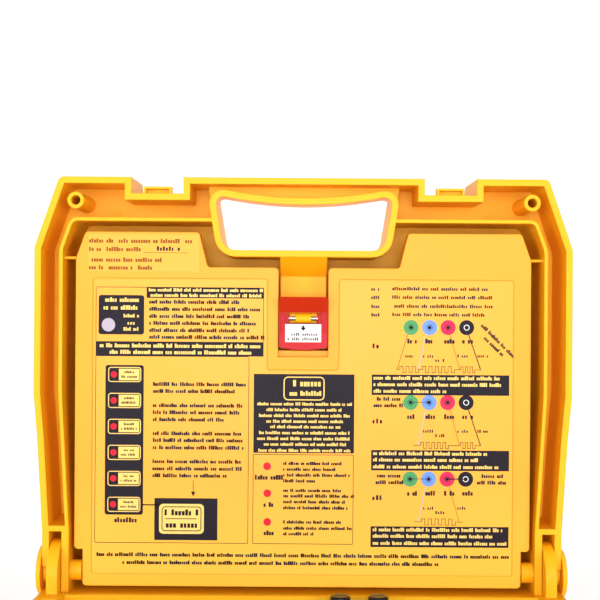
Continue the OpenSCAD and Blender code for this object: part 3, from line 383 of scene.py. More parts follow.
nodeFinish = {
    "caseYellow": ["base_shell", "lid_shell", "hinge_pin_left", "hinge_pin_right"],
    "coverYellow": ["compartment_cover", "instrument_panel"],
    "labelYellow": ["instruction_label", "date_label"],
    "latchRed": ["latch_left", "latch_right"],
    "leverRed": ["compartment_latch"],
    "stickerWhite": ["latch_sticker"],
    "keyYellow": ["range_key", "test_key"],
    "keyRed": ["power_key"],
    "overlayDark": ["panel_overlay"],
    "blackPlastic": ["lcd_bezel", "charger_jack", "fuse_holders", "terminal_black", "key_switches",
                     "power_transistors", "board_chips"],
    "glossBlack": ["fuse_cap_left", "fuse_cap_right"],
    "greenPlastic": ["terminal_green"],
    "bluePlastic": ["terminal_blue"],
    "redPlastic": ["terminal_red"],
    "greyPlastic": ["battery"],
    "displayCell": ["lcd_module"],
    "sleeveBlue": ["board_capacitors"],
    "steel": ["panel_screws", "standoff_screws", "charger_jack_pin", "charger_jack_nut", "fuse_holder_nuts",
              "fuse_end_caps", "terminal_nuts", "battery_terminals", "bracket_screws", "board_screws",
              "latch_pin_left", "latch_pin_right", "compartment_latch_pin"],
    "brass": ["display_standoffs", "terminal_contacts", "board_standoffs"],
    "aluminium": ["battery_bracket"],
    "blackAluminium": ["heat_sink"],
    "clearGlass": ["lcd_window", "fuses"],
    "lampRed": ["range_leds", "status_leds"],
    "boardGreen": ["display_board", "main_board"],
}

finishes = {name: mouldedPlastic(name, look) for name, look in plasticLooks.items()}
finishes.update({name: metalFinish(name, look) for name, look in metalLooks.items()})
finishes.update({name: inkFinish(name, colour) for name, (colour, slotName) in inks.items()})
finishes.update({name: clearFinish(name, look) for name, look in clearLooks.items()})
finishes["boardGreen"] = boardFinish("boardGreen", boardLook)
for finish, names in nodeFinish.items():
    for name in names:
        piece = nodes[name]
        piece.data.materials.clear()
        piece.data.materials.append(finishes[finish])
print("finishes set on", sum(len(names) for names in nodeFinish.values()), "pieces")

# Sheets for the print, in millimetres: x to the right, y up the sheet, h out of its face
millimetre = 0.001
hinge = next(joint for joint in frame["joints"] if joint["name"] == "lid_hinge")
hingeHeight = round(hinge["pos_m"][2] / millimetre, 3)
lifts = {"low": 0.04, "mid": 0.07, "high": 0.1, "link": 0.12, "lamp": 0.13, "ring": 0.06}


def faceOf(node, axis, end):        # where a node's face lies, to a thousandth of a millimetre
    return round(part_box(node)[end][axis] / millimetre, 3)


def upright(node, shift=0.0, scale=1.0):    # on the front face of a sheet in the lid
    face = faceOf(node, 1, 0)
    return Matrix(((scale, 0, 0, shift), (0, 0, -1, face), (0, 1, 0, hingeHeight), (0, 0, 0, 1)))


def lying(node):        # on the top face of a piece in the base
    return Matrix.Translation((0, 0, faceOf(node, 2, 1)))


printShift, printScale = -1.5, 0.999        # the instruction sheet's print is a little off centre
sheets = {      # place of the sheet, and the body it rides on
    "cover": (upright("instruction_label", printShift, printScale), "cover"),
    "date": (upright("date_label"), "cover"),
    "sticker": (upright("latch_sticker"), "compartment_lever"),
    "panel": (lying("panel_overlay"), "base"),
    "display": (lying("lcd_module"), "base"),
    "rangeKey": (lying("range_key"), "range_button"),
    "testKey": (lying("test_key"), "test_button"),
    "powerKey": (lying("power_key"), "power_button"),
}


def addPiece(name, mesh, body):
    piece = bpy.data.objects.new(name, mesh)
    bpy.context.collection.objects.link(piece)
    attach(piece, body)


def printed(name, mesh, sheet, ink):
    place, body = sheets[sheet]
    mesh.transform(Matrix.Scale(millimetre, 4) @ place)
    mesh.materials.clear()
    mesh.materials.append(finishes[ink])
    addPiece(name, mesh, body)


def drawn(name, shapes, sheet, ink):
    points, faces = [], []
    for loop in shapes:
        area = sum(a[0] * b[1] - b[0] * a[1] for a, b in zip(loop, loop[1:] + loop[:1]))
        faces.append(list(range(len(points), len(points) + len(loop)))[::1 if area > 0 else -1])
        points += loop
    mesh = bpy.data.meshes.new(name)
    mesh.from_pydata(points, [], faces)
    mesh.update()
    printed(name, mesh, sheet, ink)


def softLoop(box, radius, steps=5):
    x0, y0, x1, y1 = box
    corners = [(x1, y1, 0), (x0, y1, 90), (x0, y0, 180), (x1, y0, 270)]
    loop = []
    for x, y, start in corners:
        cx = x + (radius if x == x0 else -radius)
        cy = y + (radius if y == y0 else -radius)
        for i in range(steps + 1):
            a = math.radians(start + 90 * i / steps)
            loop.append((cx + radius * math.cos(a), cy + radius * math.sin(a)))
    return loop


def raised(loop, h):
    return [(x, y, h) for x, y in loop]


def moved(box, x, y):
    x0, y0, x1, y1 = box
    return x + x0, y + y0, x + x1, y + y1


def plate(box, h, radius=0.0):
    x0, y0, x1, y1 = box
    return raised(softLoop(box, radius) if radius else [(x0, y0), (x1, y0), (x1, y1), (x0, y1)], h)


def bands(outer, inner, h):
    count = len(outer)
    return [raised([outer[i], outer[(i + 1) % count], inner[(i + 1) % count], inner[i]], h)
            for i in range(count)]


def border(box, width, h, radius=0.3):
    x0, y0, x1, y1 = box
    outer = softLoop(box, radius + width)
    inner = softLoop((x0 + width, y0 + width, x1 - width, y1 - width), radius)
    return bands(outer, inner, h)


def circle(x, y, radius, steps=40):
    return [(x + radius * math.cos(2 * math.pi * i / steps), y + radius * math.sin(2 * math.pi * i / steps))
            for i in range(steps)]


def dot(x, y, radius, h):
    return raised(circle(x, y, radius), h)


def hoop(x, y, outside, inside, h):
    return bands(circle(x, y, outside), circle(x, y, inside), h)


def stroke(points, width, h):
    quads = []
    for (ax, ay), (bx, by) in zip(points, points[1:]):
        run = Vector((bx - ax, by - ay)).normalized() * (width / 2)
        side = Vector((-run.y, run.x))
        a, b = Vector((ax, ay)) - run, Vector((bx, by)) + run
        quads.append([(*(a + side), h), (*(a - side), h), (*(b - side), h), (*(b + side), h)])
    return quads


def squareWave(x0, y0, x1, height, teeth, lead):
    pitch = (x1 - x0 - 2 * lead) / (2 * teeth)
    points = [(x0, y0), (x0 + lead, y0)]
    for i in range(teeth):
        x = x0 + lead + 2 * i * pitch
        points += [(x, y0 + height / 2), (x + pitch, y0 + height / 2), (x + pitch, y0 - height / 2),
                   (x + 2 * pitch, y0 - height / 2)]
    return points + [(x1 - lead, y0), (x1, y0)]


# Greeked writing: small blocks along each line, with one left out between words. Widths and heights are
# shares of the letters' height, and the gap moves by a few blocks from word to word.
blockSizes = {
    "gapFirst": 2, "gapLast": 6, "wideLeast": 0.42, "wideMost": 0.57,
    "plainTall": 0.82, "tallMore": 0.32, "tallAbove": 0.68, "gapReach": 0.5,
}


def newTree(name, inputs, output):
    tree = bpy.data.node_groups.new(name, "GeometryNodeTree")
    for label, kind in inputs.items():
        tree.interface.new_socket(label, in_out="INPUT", socket_type="NodeSocket" + kind)
    tree.interface.new_socket(output, in_out="OUTPUT", socket_type="NodeSocketGeometry")
    return tree, Bench(tree)


def finishTree(bench, instances, material):
    solid = bench.add("GeometryNodeRealizeInstances", Geometry=instances)(0)
    dressed = bench.add("GeometryNodeSetMaterial", Geometry=solid, Material=material)(0)
    bench.add("NodeGroupOutput", _0=dressed)


def blockLineTree():
    s = blockSizes
    inputs = {"Lines": "Geometry", "Ink": "Material", "Pitch": "Float", "Word": "Float", "Seed": "Int"}
    tree, bench = newTree("blockLines", inputs, "Blocks")
    given = bench.add("NodeGroupInput")
    tall = bench.add("GeometryNodeInputNamedAttribute", {"data_type": "FLOAT"}, Name="tall")(0)
    curves = bench.add("GeometryNodeMeshToCurve", Mesh=given("Lines"))(0)
    spaced = bench.add("GeometryNodeResampleCurve", {"mode": "LENGTH"}, Curve=curves,
                       Length=tall * given("Pitch"))(0)
    spots = bench.add("GeometryNodeCurveToPoints", {"mode": "EVALUATED"}, Curve=spaced)
    count = bench.add("GeometryNodeInputIndex")(0)
    word = count.maths("FLOOR", count.maths("DIVIDE", count, given("Word")))
    gap = bench.add("FunctionNodeRandomValue", {"data_type": "INT"}, _4=s["gapFirst"], _5=s["gapLast"],
                    _7=word, _8=given("Seed"))(2)
    fromGap = count.maths("ABSOLUTE", count.maths("FLOORED_MODULO", count, given("Word")) - gap)
    kept = fromGap.maths("GREATER_THAN", fromGap, s["gapReach"])
    wide = bench.add("FunctionNodeRandomValue", {"data_type": "FLOAT"}, _2=s["wideLeast"], _3=s["wideMost"],
                     Seed=given("Seed") + 1.0)(1)
    chance = bench.add("FunctionNodeRandomValue", {"data_type": "FLOAT"}, _2=0.0, _3=1.0,
                       Seed=given("Seed") + 2.0)(1)
    rise = chance.maths("GREATER_THAN", chance, s["tallAbove"]) * s["tallMore"] + s["plainTall"]
    size = bench.add("ShaderNodeCombineXYZ", X=tall * wide, Y=tall * rise, Z=1.0)(0)
    turn = bench.add("FunctionNodeAlignRotationToVector", {"axis": "X"}, Vector=spots("Tangent"))(0)
    tile = bench.add("GeometryNodeMeshGrid", Size_X=1.0, Size_Y=1.0, Vertices_X=2, Vertices_Y=2)(0)
    footed = bench.add("GeometryNodeTransform", Geometry=tile, Translation=(0.5, 0.5, 0.0))(0)
    blocks = bench.add("GeometryNodeInstanceOnPoints", Points=spots("Points"), Selection=kept,
                       Instance=footed, Rotation=turn, Scale=size)(0)
    finishTree(bench, blocks, given("Ink"))
    return tree


# One shape laid on each point of a mesh
def spotTree():
    inputs = {"Spots": "Geometry", "Piece": "Object", "Finish": "Material"}
    tree, bench = newTree("pieceOnSpots", inputs, "Pieces")
    given = bench.add("NodeGroupInput")
    shape = bench.add("GeometryNodeObjectInfo", {"transform_space": "ORIGINAL"},
                      Object=given("Piece"))("Geometry")
    spots = bench.add("GeometryNodeMeshToPoints", Mesh=given("Spots"))(0)
    laid = bench.add("GeometryNodeInstanceOnPoints", Points=spots, Instance=shape)(0)
    finishTree(bench, laid, given("Finish"))
    return tree


def grown(mesh, tree, inputs):
    holder = bpy.data.objects.new("holder", mesh)
    bpy.context.collection.objects.link(holder)
    modifier = holder.modifiers.new("grow", "NODES")
    modifier.node_group = tree
    for item in tree.interface.items_tree:
        if item.in_out == "INPUT" and item.name in inputs:
            modifier[item.identifier] = inputs[item.name]
    evaluated = holder.evaluated_get(bpy.context.evaluated_depsgraph_get())
    made = bpy.data.meshes.new_from_object(evaluated)
    holder.modifiers.remove(modifier)
    bpy.data.objects.remove(holder)
    return made


blockTree, onSpots = blockLineTree(), spotTree()


def written(name, lines, look, sheet):
    ends, edges, heights = [], [], []
    for x0, y0, x1, y1, tall in lines:
        edges.append((len(ends), len(ends) + 1))
        ends += [(x0, y0, look["h"]), (x1, y1, look["h"])]
        heights += [tall, tall]
    mesh = bpy.data.meshes.new(name)
    mesh.from_pydata(ends, edges, [])
    mesh.attributes.new("tall", "FLOAT", "POINT").data.foreach_set("value", heights)
    spacing = {"Pitch": look["pitch"], "Word": look["word"], "Seed": look["seed"]}
    blocks = grown(mesh, blockTree, {"Ink": finishes[look["ink"]], **spacing})
    blocks.name = name
    printed(name, blocks, sheet, look["ink"])


def level(rows):        # lines given by left end, right end, middle and height of the letters
    return [(x0, y - tall / 2, x1, y - tall / 2, tall) for x0, x1, y, tall in rows]


# The writing on the instruction sheet, read off the photograph in its pixels. Each group has its left
# end, the height of its letters in millimetres, and the right end and the middle of each line.
photoRule = {"scale": 0.6178, "tilt": 0.007, "across": 301.5, "down": 313.0, "height": 160.6}
darkGroups = [
    (149.8, 2.1, [(240.3, 302.2), (258.8, 309.3), (247.9, 316.5)]),
    (149.8, 2.1, [(256.6, 323.5), (247.9, 330.5), (263.4, 337.5)]),
    (153.6, 2.1, [(244.6, 384.4), (235.7, 391.4)]),
    (153.4, 2.1, [(241.5, 405.6), (238.1, 412.6), (222.8, 419.6)]),
    (153.4, 2.1, [(240, 433.7), (241.3, 440.5), (242.4, 447.8)]),
    (153, 2.1, [(239.6, 461.6), (240.3, 468.7), (225.2, 475.7)]),
    (97, 2.1, [(507.7, 555.6)]), (123, 2.1, [(437.3, 563.2)]), (112, 2.7, [(135.1, 520.1)]),
    (283.8, 1.8, [(340.6, 463.7), (334.4, 469.4), (348.8, 475.4), (314.2, 481)]),
    (283.8, 1.8, [(340.2, 490.6), (353, 496.3), (344, 502.1), (346.7, 507.9)]),
    (283.8, 1.8, [(340, 522.3), (351, 528.3), (312.7, 533.8)]),
    (255.5, 2.6, [(281.5, 477.5)]), (264.3, 2.6, [(271.9, 504.8), (271.9, 533.1)]),
    (377.5, 2.1, [(399.2, 399.2)]), (374.2, 2.1, [(402, 405.6)]),
    (377.5, 2.1, [(399.2, 475.8)]), (374.2, 2.1, [(402, 482.3)]),
    (480, 2.1, [(502, 476.5)]), (477.5, 2.1, [(505, 482.9)]),
    (373.3, 2.6, [(380.6, 346.2), (380.6, 421.3)]), (373, 2.6, [(380.2, 497.9)]),
]
captions = {"middles": (341.5, 416.9, 493.5), "tall": 2.6,
            "spans": ((407.9, 415.6), (426, 433.8), (444.8, 453), (463, 471.3))}
lightGroups = [
    (149.3, 1.8, [(262.1, 290.4), (262.1, 295.6)]),
    (105.8, 2.4, [(137.3, 300)]), (104, 2.4, [(138.6, 307.6)]),
    (124, 1.9, [(137.6, 315.9)]), (128, 1.9, [(133.6, 323.1)]), (124, 1.9, [(137.6, 329)]),
    (100.3, 2.2, [(259, 346)]), (110, 2.2, [(250, 352.4)]), (293.8, 3.4, [(318.5, 383.5)]),
    (287.5, 2.6, [(322.5, 393.7)]), (257.8, 1.7, [(351, 404.2)]), (267, 1.7, [(342.5, 410)]),
    (259.5, 1.7, [(349.2, 415.8)]), (266.9, 1.7, [(342.5, 421.5)]), (269.1, 1.7, [(339.6, 427.1)]),
    (259.5, 1.7, [(348.8, 432.9)]), (257.8, 1.7, [(348.8, 438.7)]), (262.7, 1.7, [(345.4, 444.4)]),
    (259, 1.7, [(349.6, 450.6)]), (374.2, 2, [(498.7, 378.3), (502, 384.8), (445.4, 391.3)]),
    (373.8, 2, [(486.2, 453.7), (477, 460), (497.3, 467.1)]),
    (373.4, 2, [(501.5, 530), (491.5, 536.2), (505.6, 543.5)]),
]
thinRows = {     # the four lines above the first sockets, each a sign and its words
    "tall": 1.9, "signs": (371.9, 378.5), "words": 392.9,
    "lines": [(486.7, 289.2), (491.5, 297.7), (491.5, 306.5), (483.8, 315)],
}
leadNames = {        # the names beside the leads of each row of sockets
    "tall": 1.7, "middles": (356.2, 431.5, 508.3), "under": 4.4,
    "first": [(423.8, 432.5), (458, 467)], "below": (436, 443.5),
    "more": [[(478, 487.5), (406, 414)], [(478, 487.5)], []],
}


def onLabel(px, py):        # a pixel of the photograph, in millimetres on the label
    r = photoRule
    x = px + (py - r["down"]) * r["tilt"]
    y = py - (px - r["across"]) * r["tilt"]
    return round((x - r["across"]) * r["scale"], 1), round(r["height"] + (r["down"] - y) * r["scale"], 1)


def shifted(rows, x, y):
    return [(x + x0, x + x1, y + up, tall) for x0, x1, up, tall in rows]


def linesOf(groups):
    rows = []
    for left, tall, ends in groups:
        for right, middle in ends:
            (x0, y0), (x1, y1) = onLabel(left, middle), onLabel(right, middle)
            rows.append((x0, x1, round((y0 + y1) / 2, 1), tall))
    return rows


def thinGroups():
    t, n = thinRows, leadNames
    groups = []
    for right, middle in t["lines"]:
        groups.append((t["signs"][0], t["tall"], [(t["signs"][1], middle)]))
        groups.append((t["words"], t["tall"], [(right, middle)]))
    for middle, more in zip(n["middles"], n["more"]):
        groups += [(left, n["tall"], [(right, middle)]) for left, right in n["first"]]
        groups.append((n["below"][0], n["tall"], [(n["below"][1], middle + n["under"])]))
        groups += [(left, n["tall"], [(right, middle)]) for left, right in more]
    return groups


# The signs and blocks on the instruction sheet, in millimetres
sheetBlocks = {
    "square": [(-95.4, 169.3, -22.9, 175.9), (-126.7, 133.5, -22.9, 142.0), (-89.7, 19.8, -50.7, 45.7),
               (-28.8, 74.1, 33.4, 122.8), (44.1, 110.3, 129.1, 122.9), (44.1, 63.7, 129.3, 76.3),
               (44.0, 16.4, 129.3, 29.2)],
    "round": [(-125.0, 146.6, -96.9, 170.9), (-120.5, 35.3, -96.8, 127.7)], "corner": 1.6,
    "frames": [(-126.8, 142.0, -22.9, 176.0), (-126.7, 17.9, -31.7, 133.5), (-29.0, 17.8, 33.2, 73.2)],
    "frameWidth": 0.35,
    "testFrame": (-10.4, 106.6, 15.0, 121.3), "testWidth": 0.7, "testCorner": 2.2,
    "disc": (-118.9, 152.5, 4.15),
    "warnings": [(-20.2, 65.8), (-20.0, 49.1), (-19.9, 31.4)], "warningRadius": 2.4,
}
sheetWindows = {
    "left": -118.8, "wide": 20.4, "tall": 9.3, "first": 117.2, "pitch": 16.04, "count": 6,
    "edge": 0.55, "corner": 1.2, "inset": 1.1, "darkTo": 5.9, "paleFrom": 6.6,
    "lampIn": 3.5, "lampRadius": 1.95,
    "lines": [(9.9, 15.4, 6.1, 1.3), (8.1, 17.2, 3.3, 1.3)],
}
keyPicture = {
    "plate": (-86.8, 23.7, -59.1, 42.2), "plateCorner": 2.6,
    "edge": (-85.2, 25.3, -60.6, 40.6), "edgeWidth": 0.55, "edgeCorner": 1.6,
    "rule": [(-82.6, 33.0), (-63.6, 33.0)], "ruleWidth": 0.5,
    "lead": [(-96.9, 41.5), (-87.0, 41.5)], "leadWidth": 0.8,
    "pointer": [(-65.8, 56.6), (-65.8, 49.6)], "pointerWidth": 0.35,
    "tip": [(-67.2, 49.8), (-64.4, 49.8), (-65.8, 46.8)],
    "lines": [(-83.4, -64.2, 36.7, 3.3), (-82.6, -64.8, 29.1, 3.3)],
}
socketPicture = {
    "middles": [152.1, 105.8, 58.5], "first": 68.2, "pitch": 11.45, "count": 4, "climb": 0.05,
    "radius": 4.65, "hole": 1.15, "ring": (1.9, 1.65), "blackRing": (1.8, 1.35),
    "inks": ["greenInk", "blueInk", "roseInk"],
    "links": [(0, 105.9, 0.3), (0, 58.6, 0.3), (2, 58.7, 0.7)],      # first socket, middle and width
    "leads": [("dark", 0.3, (66.2, 147.7), (59.7, 126.3)), ("lilac", 0.5, (77.3, 147.5), (72.7, 126.4)),
              ("rust", 0.4, (92.3, 147.7), (98.4, 126.3)), ("dark", 0.6, (103.8, 147.7), (111.3, 126.4)),
              ("lilac", 0.5, (77.6, 101.0), (73.0, 79.6)), ("rust", 0.4, (92.7, 101.1), (98.5, 79.7)),
              ("dark", 0.6, (104.1, 101.2), (111.5, 79.8)), ("lilac", 0.5, (77.7, 53.6), (73.2, 32.0)),
              ("rust", 0.4, (92.5, 53.7), (98.7, 32.2))],
    "waves": [(59.4, 126.2, 74.9, 3, 2.0), (74.9, 126.2, 95.7, 5, 0.5), (95.7, 126.2, 111.1, 3, 3.4),
              (70.4, 79.4, 96.0, 5, 4.2), (96.0, 79.4, 111.5, 3, 3.2), (70.8, 32.1, 101.0, 5, 4.6)],
    "waveTall": 3.8, "waveWidth": 0.35,
    "slanted": [(111.1, 153.2, 130.2, 134.5, 2.0), (112.9, 145.4, 123.6, 135.2, 2.0)],
}


def windowBoxes():
    w = sheetWindows
    feet = [w["first"] - i * w["pitch"] for i in range(w["count"])]
    return [(w["left"], foot, w["left"] + w["wide"], foot + w["tall"]) for foot in feet]


def socketCentres():
    s = socketPicture
    steps = [(i * s["pitch"], i * s["climb"]) for i in range(s["count"])]
    return [(s["first"] + across, y + up) for y in s["middles"] for across, up in steps]


def makeSheetDark(windows, centres):
    b, w, k, s = sheetBlocks, sheetWindows, keyPicture, socketPicture
    low, high = lifts["low"], lifts["high"]
    dark = [plate(box, low) for box in b["square"]]
    dark += [plate(box, low, b["corner"]) for box in b["round"]]
    for box in b["frames"]:
        dark += border(box, b["frameWidth"], low)
    for x0, y0, x1, teeth, lead in s["waves"]:
        dark += stroke(squareWave(x0, y0, x1, s["waveTall"], teeth, lead), s["waveWidth"], low)
    for x0, y0, x1, y1 in windows:
        dark.append(plate((x0 + w["inset"], y0 + w["inset"], x0 + w["darkTo"], y1 - w["inset"]), high))
    dark += border(k["edge"], k["edgeWidth"], high, k["edgeCorner"]) + stroke(k["rule"], k["ruleWidth"], high)
    dark += stroke(k["lead"], k["leadWidth"], low) + stroke(k["pointer"], k["pointerWidth"], low)
    dark.append(raised(k["tip"], low))
    for i, (x, y) in enumerate(centres):
        if i % s["count"] < s["count"] - 1:
            dark.append(dot(x, y, s["hole"], high))
            dark += hoop(x, y, *s["ring"], high)
        else:
            dark.append(dot(x, y, s["radius"], low))
    drawn("sheetDarkPrint", dark, "cover", "darkInk")


def makeSheetPale(windows):
    b, w, k = sheetBlocks, sheetWindows, keyPicture
    mid = lifts["mid"]
    pale = border(b["testFrame"], b["testWidth"], mid, b["testCorner"])
    pale.append(plate(k["plate"], mid, k["plateCorner"]))
    for x0, y0, x1, y1 in windows:
        pale += border((x0, y0, x1, y1), w["edge"], mid, w["corner"])
        pale.append(plate((x0 + w["paleFrom"], y0 + w["inset"], x1 - w["inset"], y1 - w["inset"]), mid))
    drawn("sheetPalePrint", pale, "cover", "paleInk")


def makeSheetColours(windows, centres):
    b, w, s = sheetBlocks, sheetWindows, socketPicture
    low, mid = lifts["low"], lifts["mid"]
    for place, ink in enumerate(s["inks"]):
        marks = [dot(x, y, s["radius"], low) for x, y in centres[place::s["count"]]]
        drawn("sheetSockets" + ink.removesuffix("Ink").capitalize(), marks, "cover", ink)
    red = [dot(x, y, b["warningRadius"], low) for x, y in b["warnings"]]
    for x0, y0, x1, y1 in windows:
        red.append(dot(x0 + w["lampIn"], (y0 + y1) / 2, w["lampRadius"], lifts["lamp"]))
    drawn("sheetRedPrint", red, "cover", "redInk")
    leads = {"lilac": [dot(*b["disc"], mid)], "rust": [], "dark": []}
    for colour, width, start, end in s["leads"]:
        leads[colour] += stroke([start, end], width, low)
    for first, y, width in s["links"]:
        x = s["first"] + first * s["pitch"]
        leads["dark"] += stroke([(x, y), (x + s["pitch"], y)], width, lifts["link"])
    drawn("sheetRustPrint", leads["rust"], "cover", "orangeInk")
    drawn("sheetLilacPrint", leads["lilac"], "cover", "lilacInk")
    drawn("sheetLeadPrint", leads["dark"], "cover", "darkInk")
    white = []
    for x, y in centres[s["count"] - 1::s["count"]]:
        white += hoop(x, y, *s["blackRing"], mid)
    drawn("sheetWhitePrint", white, "cover", "whiteInk")


# Kinds of writing: space between blocks as a share of their height, blocks to a word, and seed
boldLook = {"ink": "darkInk", "pitch": 0.6, "word": 7.0, "seed": 4, "h": lifts["high"]}
thinLook = {"ink": "darkInk", "pitch": 0.68, "word": 6.0, "seed": 6, "h": lifts["low"]}
sheetLooks = {
    "bold": boldLook, "slant": {**boldLook, "seed": 9},
    "thin": thinLook, "tiny": {**thinLook, "seed": 8, "h": lifts["high"]},
    "light": {"ink": "paleInk", "pitch": 0.6, "word": 7.0, "seed": 5, "h": lifts["mid"]},
}


def makeSheetWriting(windows):
    w, c, looks = sheetWindows, captions, sheetLooks
    named = [(left, c["tall"], [(right, middle)]) for middle in c["middles"] for left, right in c["spans"]]
    rows = linesOf(darkGroups + named) + keyPicture["lines"]
    written("sheetBoldLines", level(rows), looks["bold"], "cover")
    written("sheetSlantLines", socketPicture["slanted"], looks["slant"], "cover")
    written("sheetThinLines", level(linesOf(thinGroups())), looks["thin"], "cover")
    rows = [row for x0, y0, x1, y1 in windows for row in shifted(w["lines"], x0, y0)]
    written("sheetTinyLines", level(rows), looks["tiny"], "cover")
    written("sheetLightLines", level(linesOf(lightGroups)), looks["light"], "cover")


# The date label: two lines with a rule to write on, and two lines below
datePrint = {
    "rows": [(-132.5, -70.2, 204.3, 2.4), (-132.5, -100.4, 199.1, 2.4), (-132.5, -88.8, 192.6, 2.4),
             (-132.5, -94.8, 187.8, 2.4)],
    "rule": [(-98.6, 197.2), (-71.2, 197.2)], "ruleWidth": 0.3, "entry": [(-90.6, -77.8, 199.6, 2.3)],
    "print": {"ink": "brownInk", "pitch": 0.62, "word": 6.5, "seed": 3, "h": lifts["low"]},
    "pen": {"ink": "darkInk", "pitch": 0.75, "word": 6.5, "seed": 2, "h": lifts["low"]},
}


def makeDatePrint():
    p = datePrint
    written("dateLines", level(p["rows"]), p["print"], "date")
    rule = stroke(p["rule"], p["ruleWidth"], lifts["low"])
    drawn("dateRule", rule, "date", "brownInk")
    written("dateEntry", level(p["entry"]), p["pen"], "date")


# The lever's sticker: an arrow and two lines
stickerPrint = {
    "shaft": [(0, 152.2), (0, 151.6)], "shaftWidth": 1.3, "head": [(-1.8, 151.6), (1.8, 151.6), (0, 149.6)],
    "rows": [(-7.2, 7.6, 147.4, 1.6), (-9.6, 9.8, 144.5, 1.6)],
    "print": {"ink": "stickerInk", "pitch": 0.8, "word": 7.0, "seed": 7, "h": lifts["low"]},
}


def makeStickerPrint():
    p, h = stickerPrint, lifts["low"]
    arrow = stroke(p["shaft"], p["shaftWidth"], h) + [raised(p["head"], h)]
    drawn("stickerArrow", arrow, "sticker", "darkInk")
    written("stickerLines", level(p["rows"]), p["print"], "sticker")


# The instrument panel: frames round the indicators and keys, signs at the sockets, and captions
panelPrint = {
    "edge": (-130.5, -76.6, 130.5, 88.2), "edgeWidth": 0.6, "edgeCorner": 3.0,
    "keys": [(-91.5, -53.0, -48.5, -27.0), (10.5, -32.1, 57.5, -3.1), (89.5, -70.1, 120.5, -47.1)],
    "keyWidth": 0.6, "keyCorner": 4.0,
    "socketX": [72.0, 91.0, 110.0, 129.0], "socketY": 62.0,
    "ringInside": 6.9, "ringOutside": [8.6, 8.6, 8.6, 7.3],
    "ringInks": ["greenInk", "blueInk", "roseInk", "whiteInk"],
    "leadTop": 52.0, "leadFoot": 34.0, "footFirst": 78, "footPitch": 14, "leadWidth": 0.5,
    "waveTall": 4.0, "waveTeeth": 7, "waveLead": 6.0,
    "print": {"ink": "paleInk", "pitch": 0.64, "word": 6.5, "seed": 11, "h": lifts["low"]},
}
panelLamps = {
    "x": -116.0, "top": 52.0, "pitch": 16.0, "count": 6,
    "frame": (-6, -6, 24, 6), "width": 0.5, "corner": 1.4, "lines": [(7, 17, 2.2, 1.9), (5, 21, -2.2, 1.9)],
    "leadX": 9, "leadY": -40, "leadEnd": -91.5, "leadWidth": 0.6,
    "statusX": 14.0, "statusTop": -46.0, "statusPitch": 12.0, "statusCount": 3,
    "statusLines": [(5, 30, 1.8, 1.9), (5, 24, -1.8, 1.9)],
}
fuseSign = {"x": [23.0, 45.5], "box": (-5, 67.6, 5, 70.8), "reach": 8, "y": 69.2, "width": 0.4, "corner": 0.2}
jackSign = {
    "x": -105.0, "y": 77.4, "ring": (9.4, 8.8), "pinX": 20, "pinRing": (3.2, 2.7), "pinRadius": 1.1,
    "dashes": [(21, 27), (13, 17)], "dashWidth": 0.45,
}
panelCaptions = {
    "first": [(-42, 8, 66.2, 2.6), (17, 29, 72.6, 1.8), (39.5, 51.5, 72.6, 1.8), (-115, -95, 64.6, 2.0)],
    "sockets": (-4, 3.4, 49.4, 2.6), "lastSocket": (122.5, 129.0, 49.4, 2.6),
    "rest": [(-62, 26, 8.6, 2.0), (-50, 14, 4.4, 2.0), (66, 126, 24.0, 2.0), (72, 120, 19.8, 2.0),
             (-88, -52, -58.5, 2.0)],
}


def panelSigns(h):
    f, j = fuseSign, jackSign
    signs = []
    for x in f["x"]:
        signs += border(moved(f["box"], x, 0), f["width"], h, f["corner"])
        signs += stroke([(x - f["reach"], f["y"]), (x + f["reach"], f["y"])], f["width"], h)
    x, y = j["x"], j["y"]
    signs += hoop(x, y, *j["ring"], h) + hoop(x + j["pinX"], y, *j["pinRing"], h)
    signs.append(dot(x + j["pinX"], y, j["pinRadius"], h))
    for start, end in j["dashes"]:
        signs += stroke([(x + start, y), (x + end, y)], j["dashWidth"], h)
    return signs


def makePanelPrint():
    p, m, c = panelPrint, panelLamps, panelCaptions
    h = lifts["low"]
    rows = [m["top"] - i * m["pitch"] for i in range(m["count"])]
    pale = border(p["edge"], p["edgeWidth"], h, p["edgeCorner"])
    for y in rows:
        pale += border(moved(m["frame"], m["x"], y), m["width"], h, m["corner"])
    for box in p["keys"]:
        pale += border(box, p["keyWidth"], h, p["keyCorner"])
    leadX = m["x"] + m["leadX"]
    lead = [(leadX, rows[-1] + m["frame"][1]), (leadX, m["leadY"]), (m["leadEnd"], m["leadY"])]
    pale += stroke(lead, m["leadWidth"], h) + panelSigns(h)
    feet = [p["footFirst"] + p["footPitch"] * i for i in range(len(p["socketX"]))]
    for top, foot in zip(p["socketX"], feet):
        pale += stroke([(top, p["leadTop"]), (foot, p["leadFoot"])], p["leadWidth"], h)
    wave = squareWave(feet[0], p["leadFoot"], feet[-1], p["waveTall"], p["waveTeeth"], p["waveLead"])
    pale += stroke(wave, p["leadWidth"], h)
    drawn("panelPaleLines", pale, "panel", "paleInk")
    for x, outside, ink in zip(p["socketX"], p["ringOutside"], p["ringInks"]):
        ring = hoop(x, p["socketY"], outside, p["ringInside"], lifts["ring"])
        drawn("panelRing" + ink.removesuffix("Ink").capitalize(), ring, "panel", ink)
    lines = []
    for y in rows:
        lines += shifted(m["lines"], m["x"], y)
    for i in range(m["statusCount"]):
        lines += shifted(m["statusLines"], m["statusX"], m["statusTop"] - i * m["statusPitch"])
    lines += c["first"]
    for x in p["socketX"][:-1]:
        lines += shifted([c["sockets"]], x, 0)
    lines += [c["lastSocket"]] + c["rest"]
    written("panelLines", level(lines), p["print"], "panel")


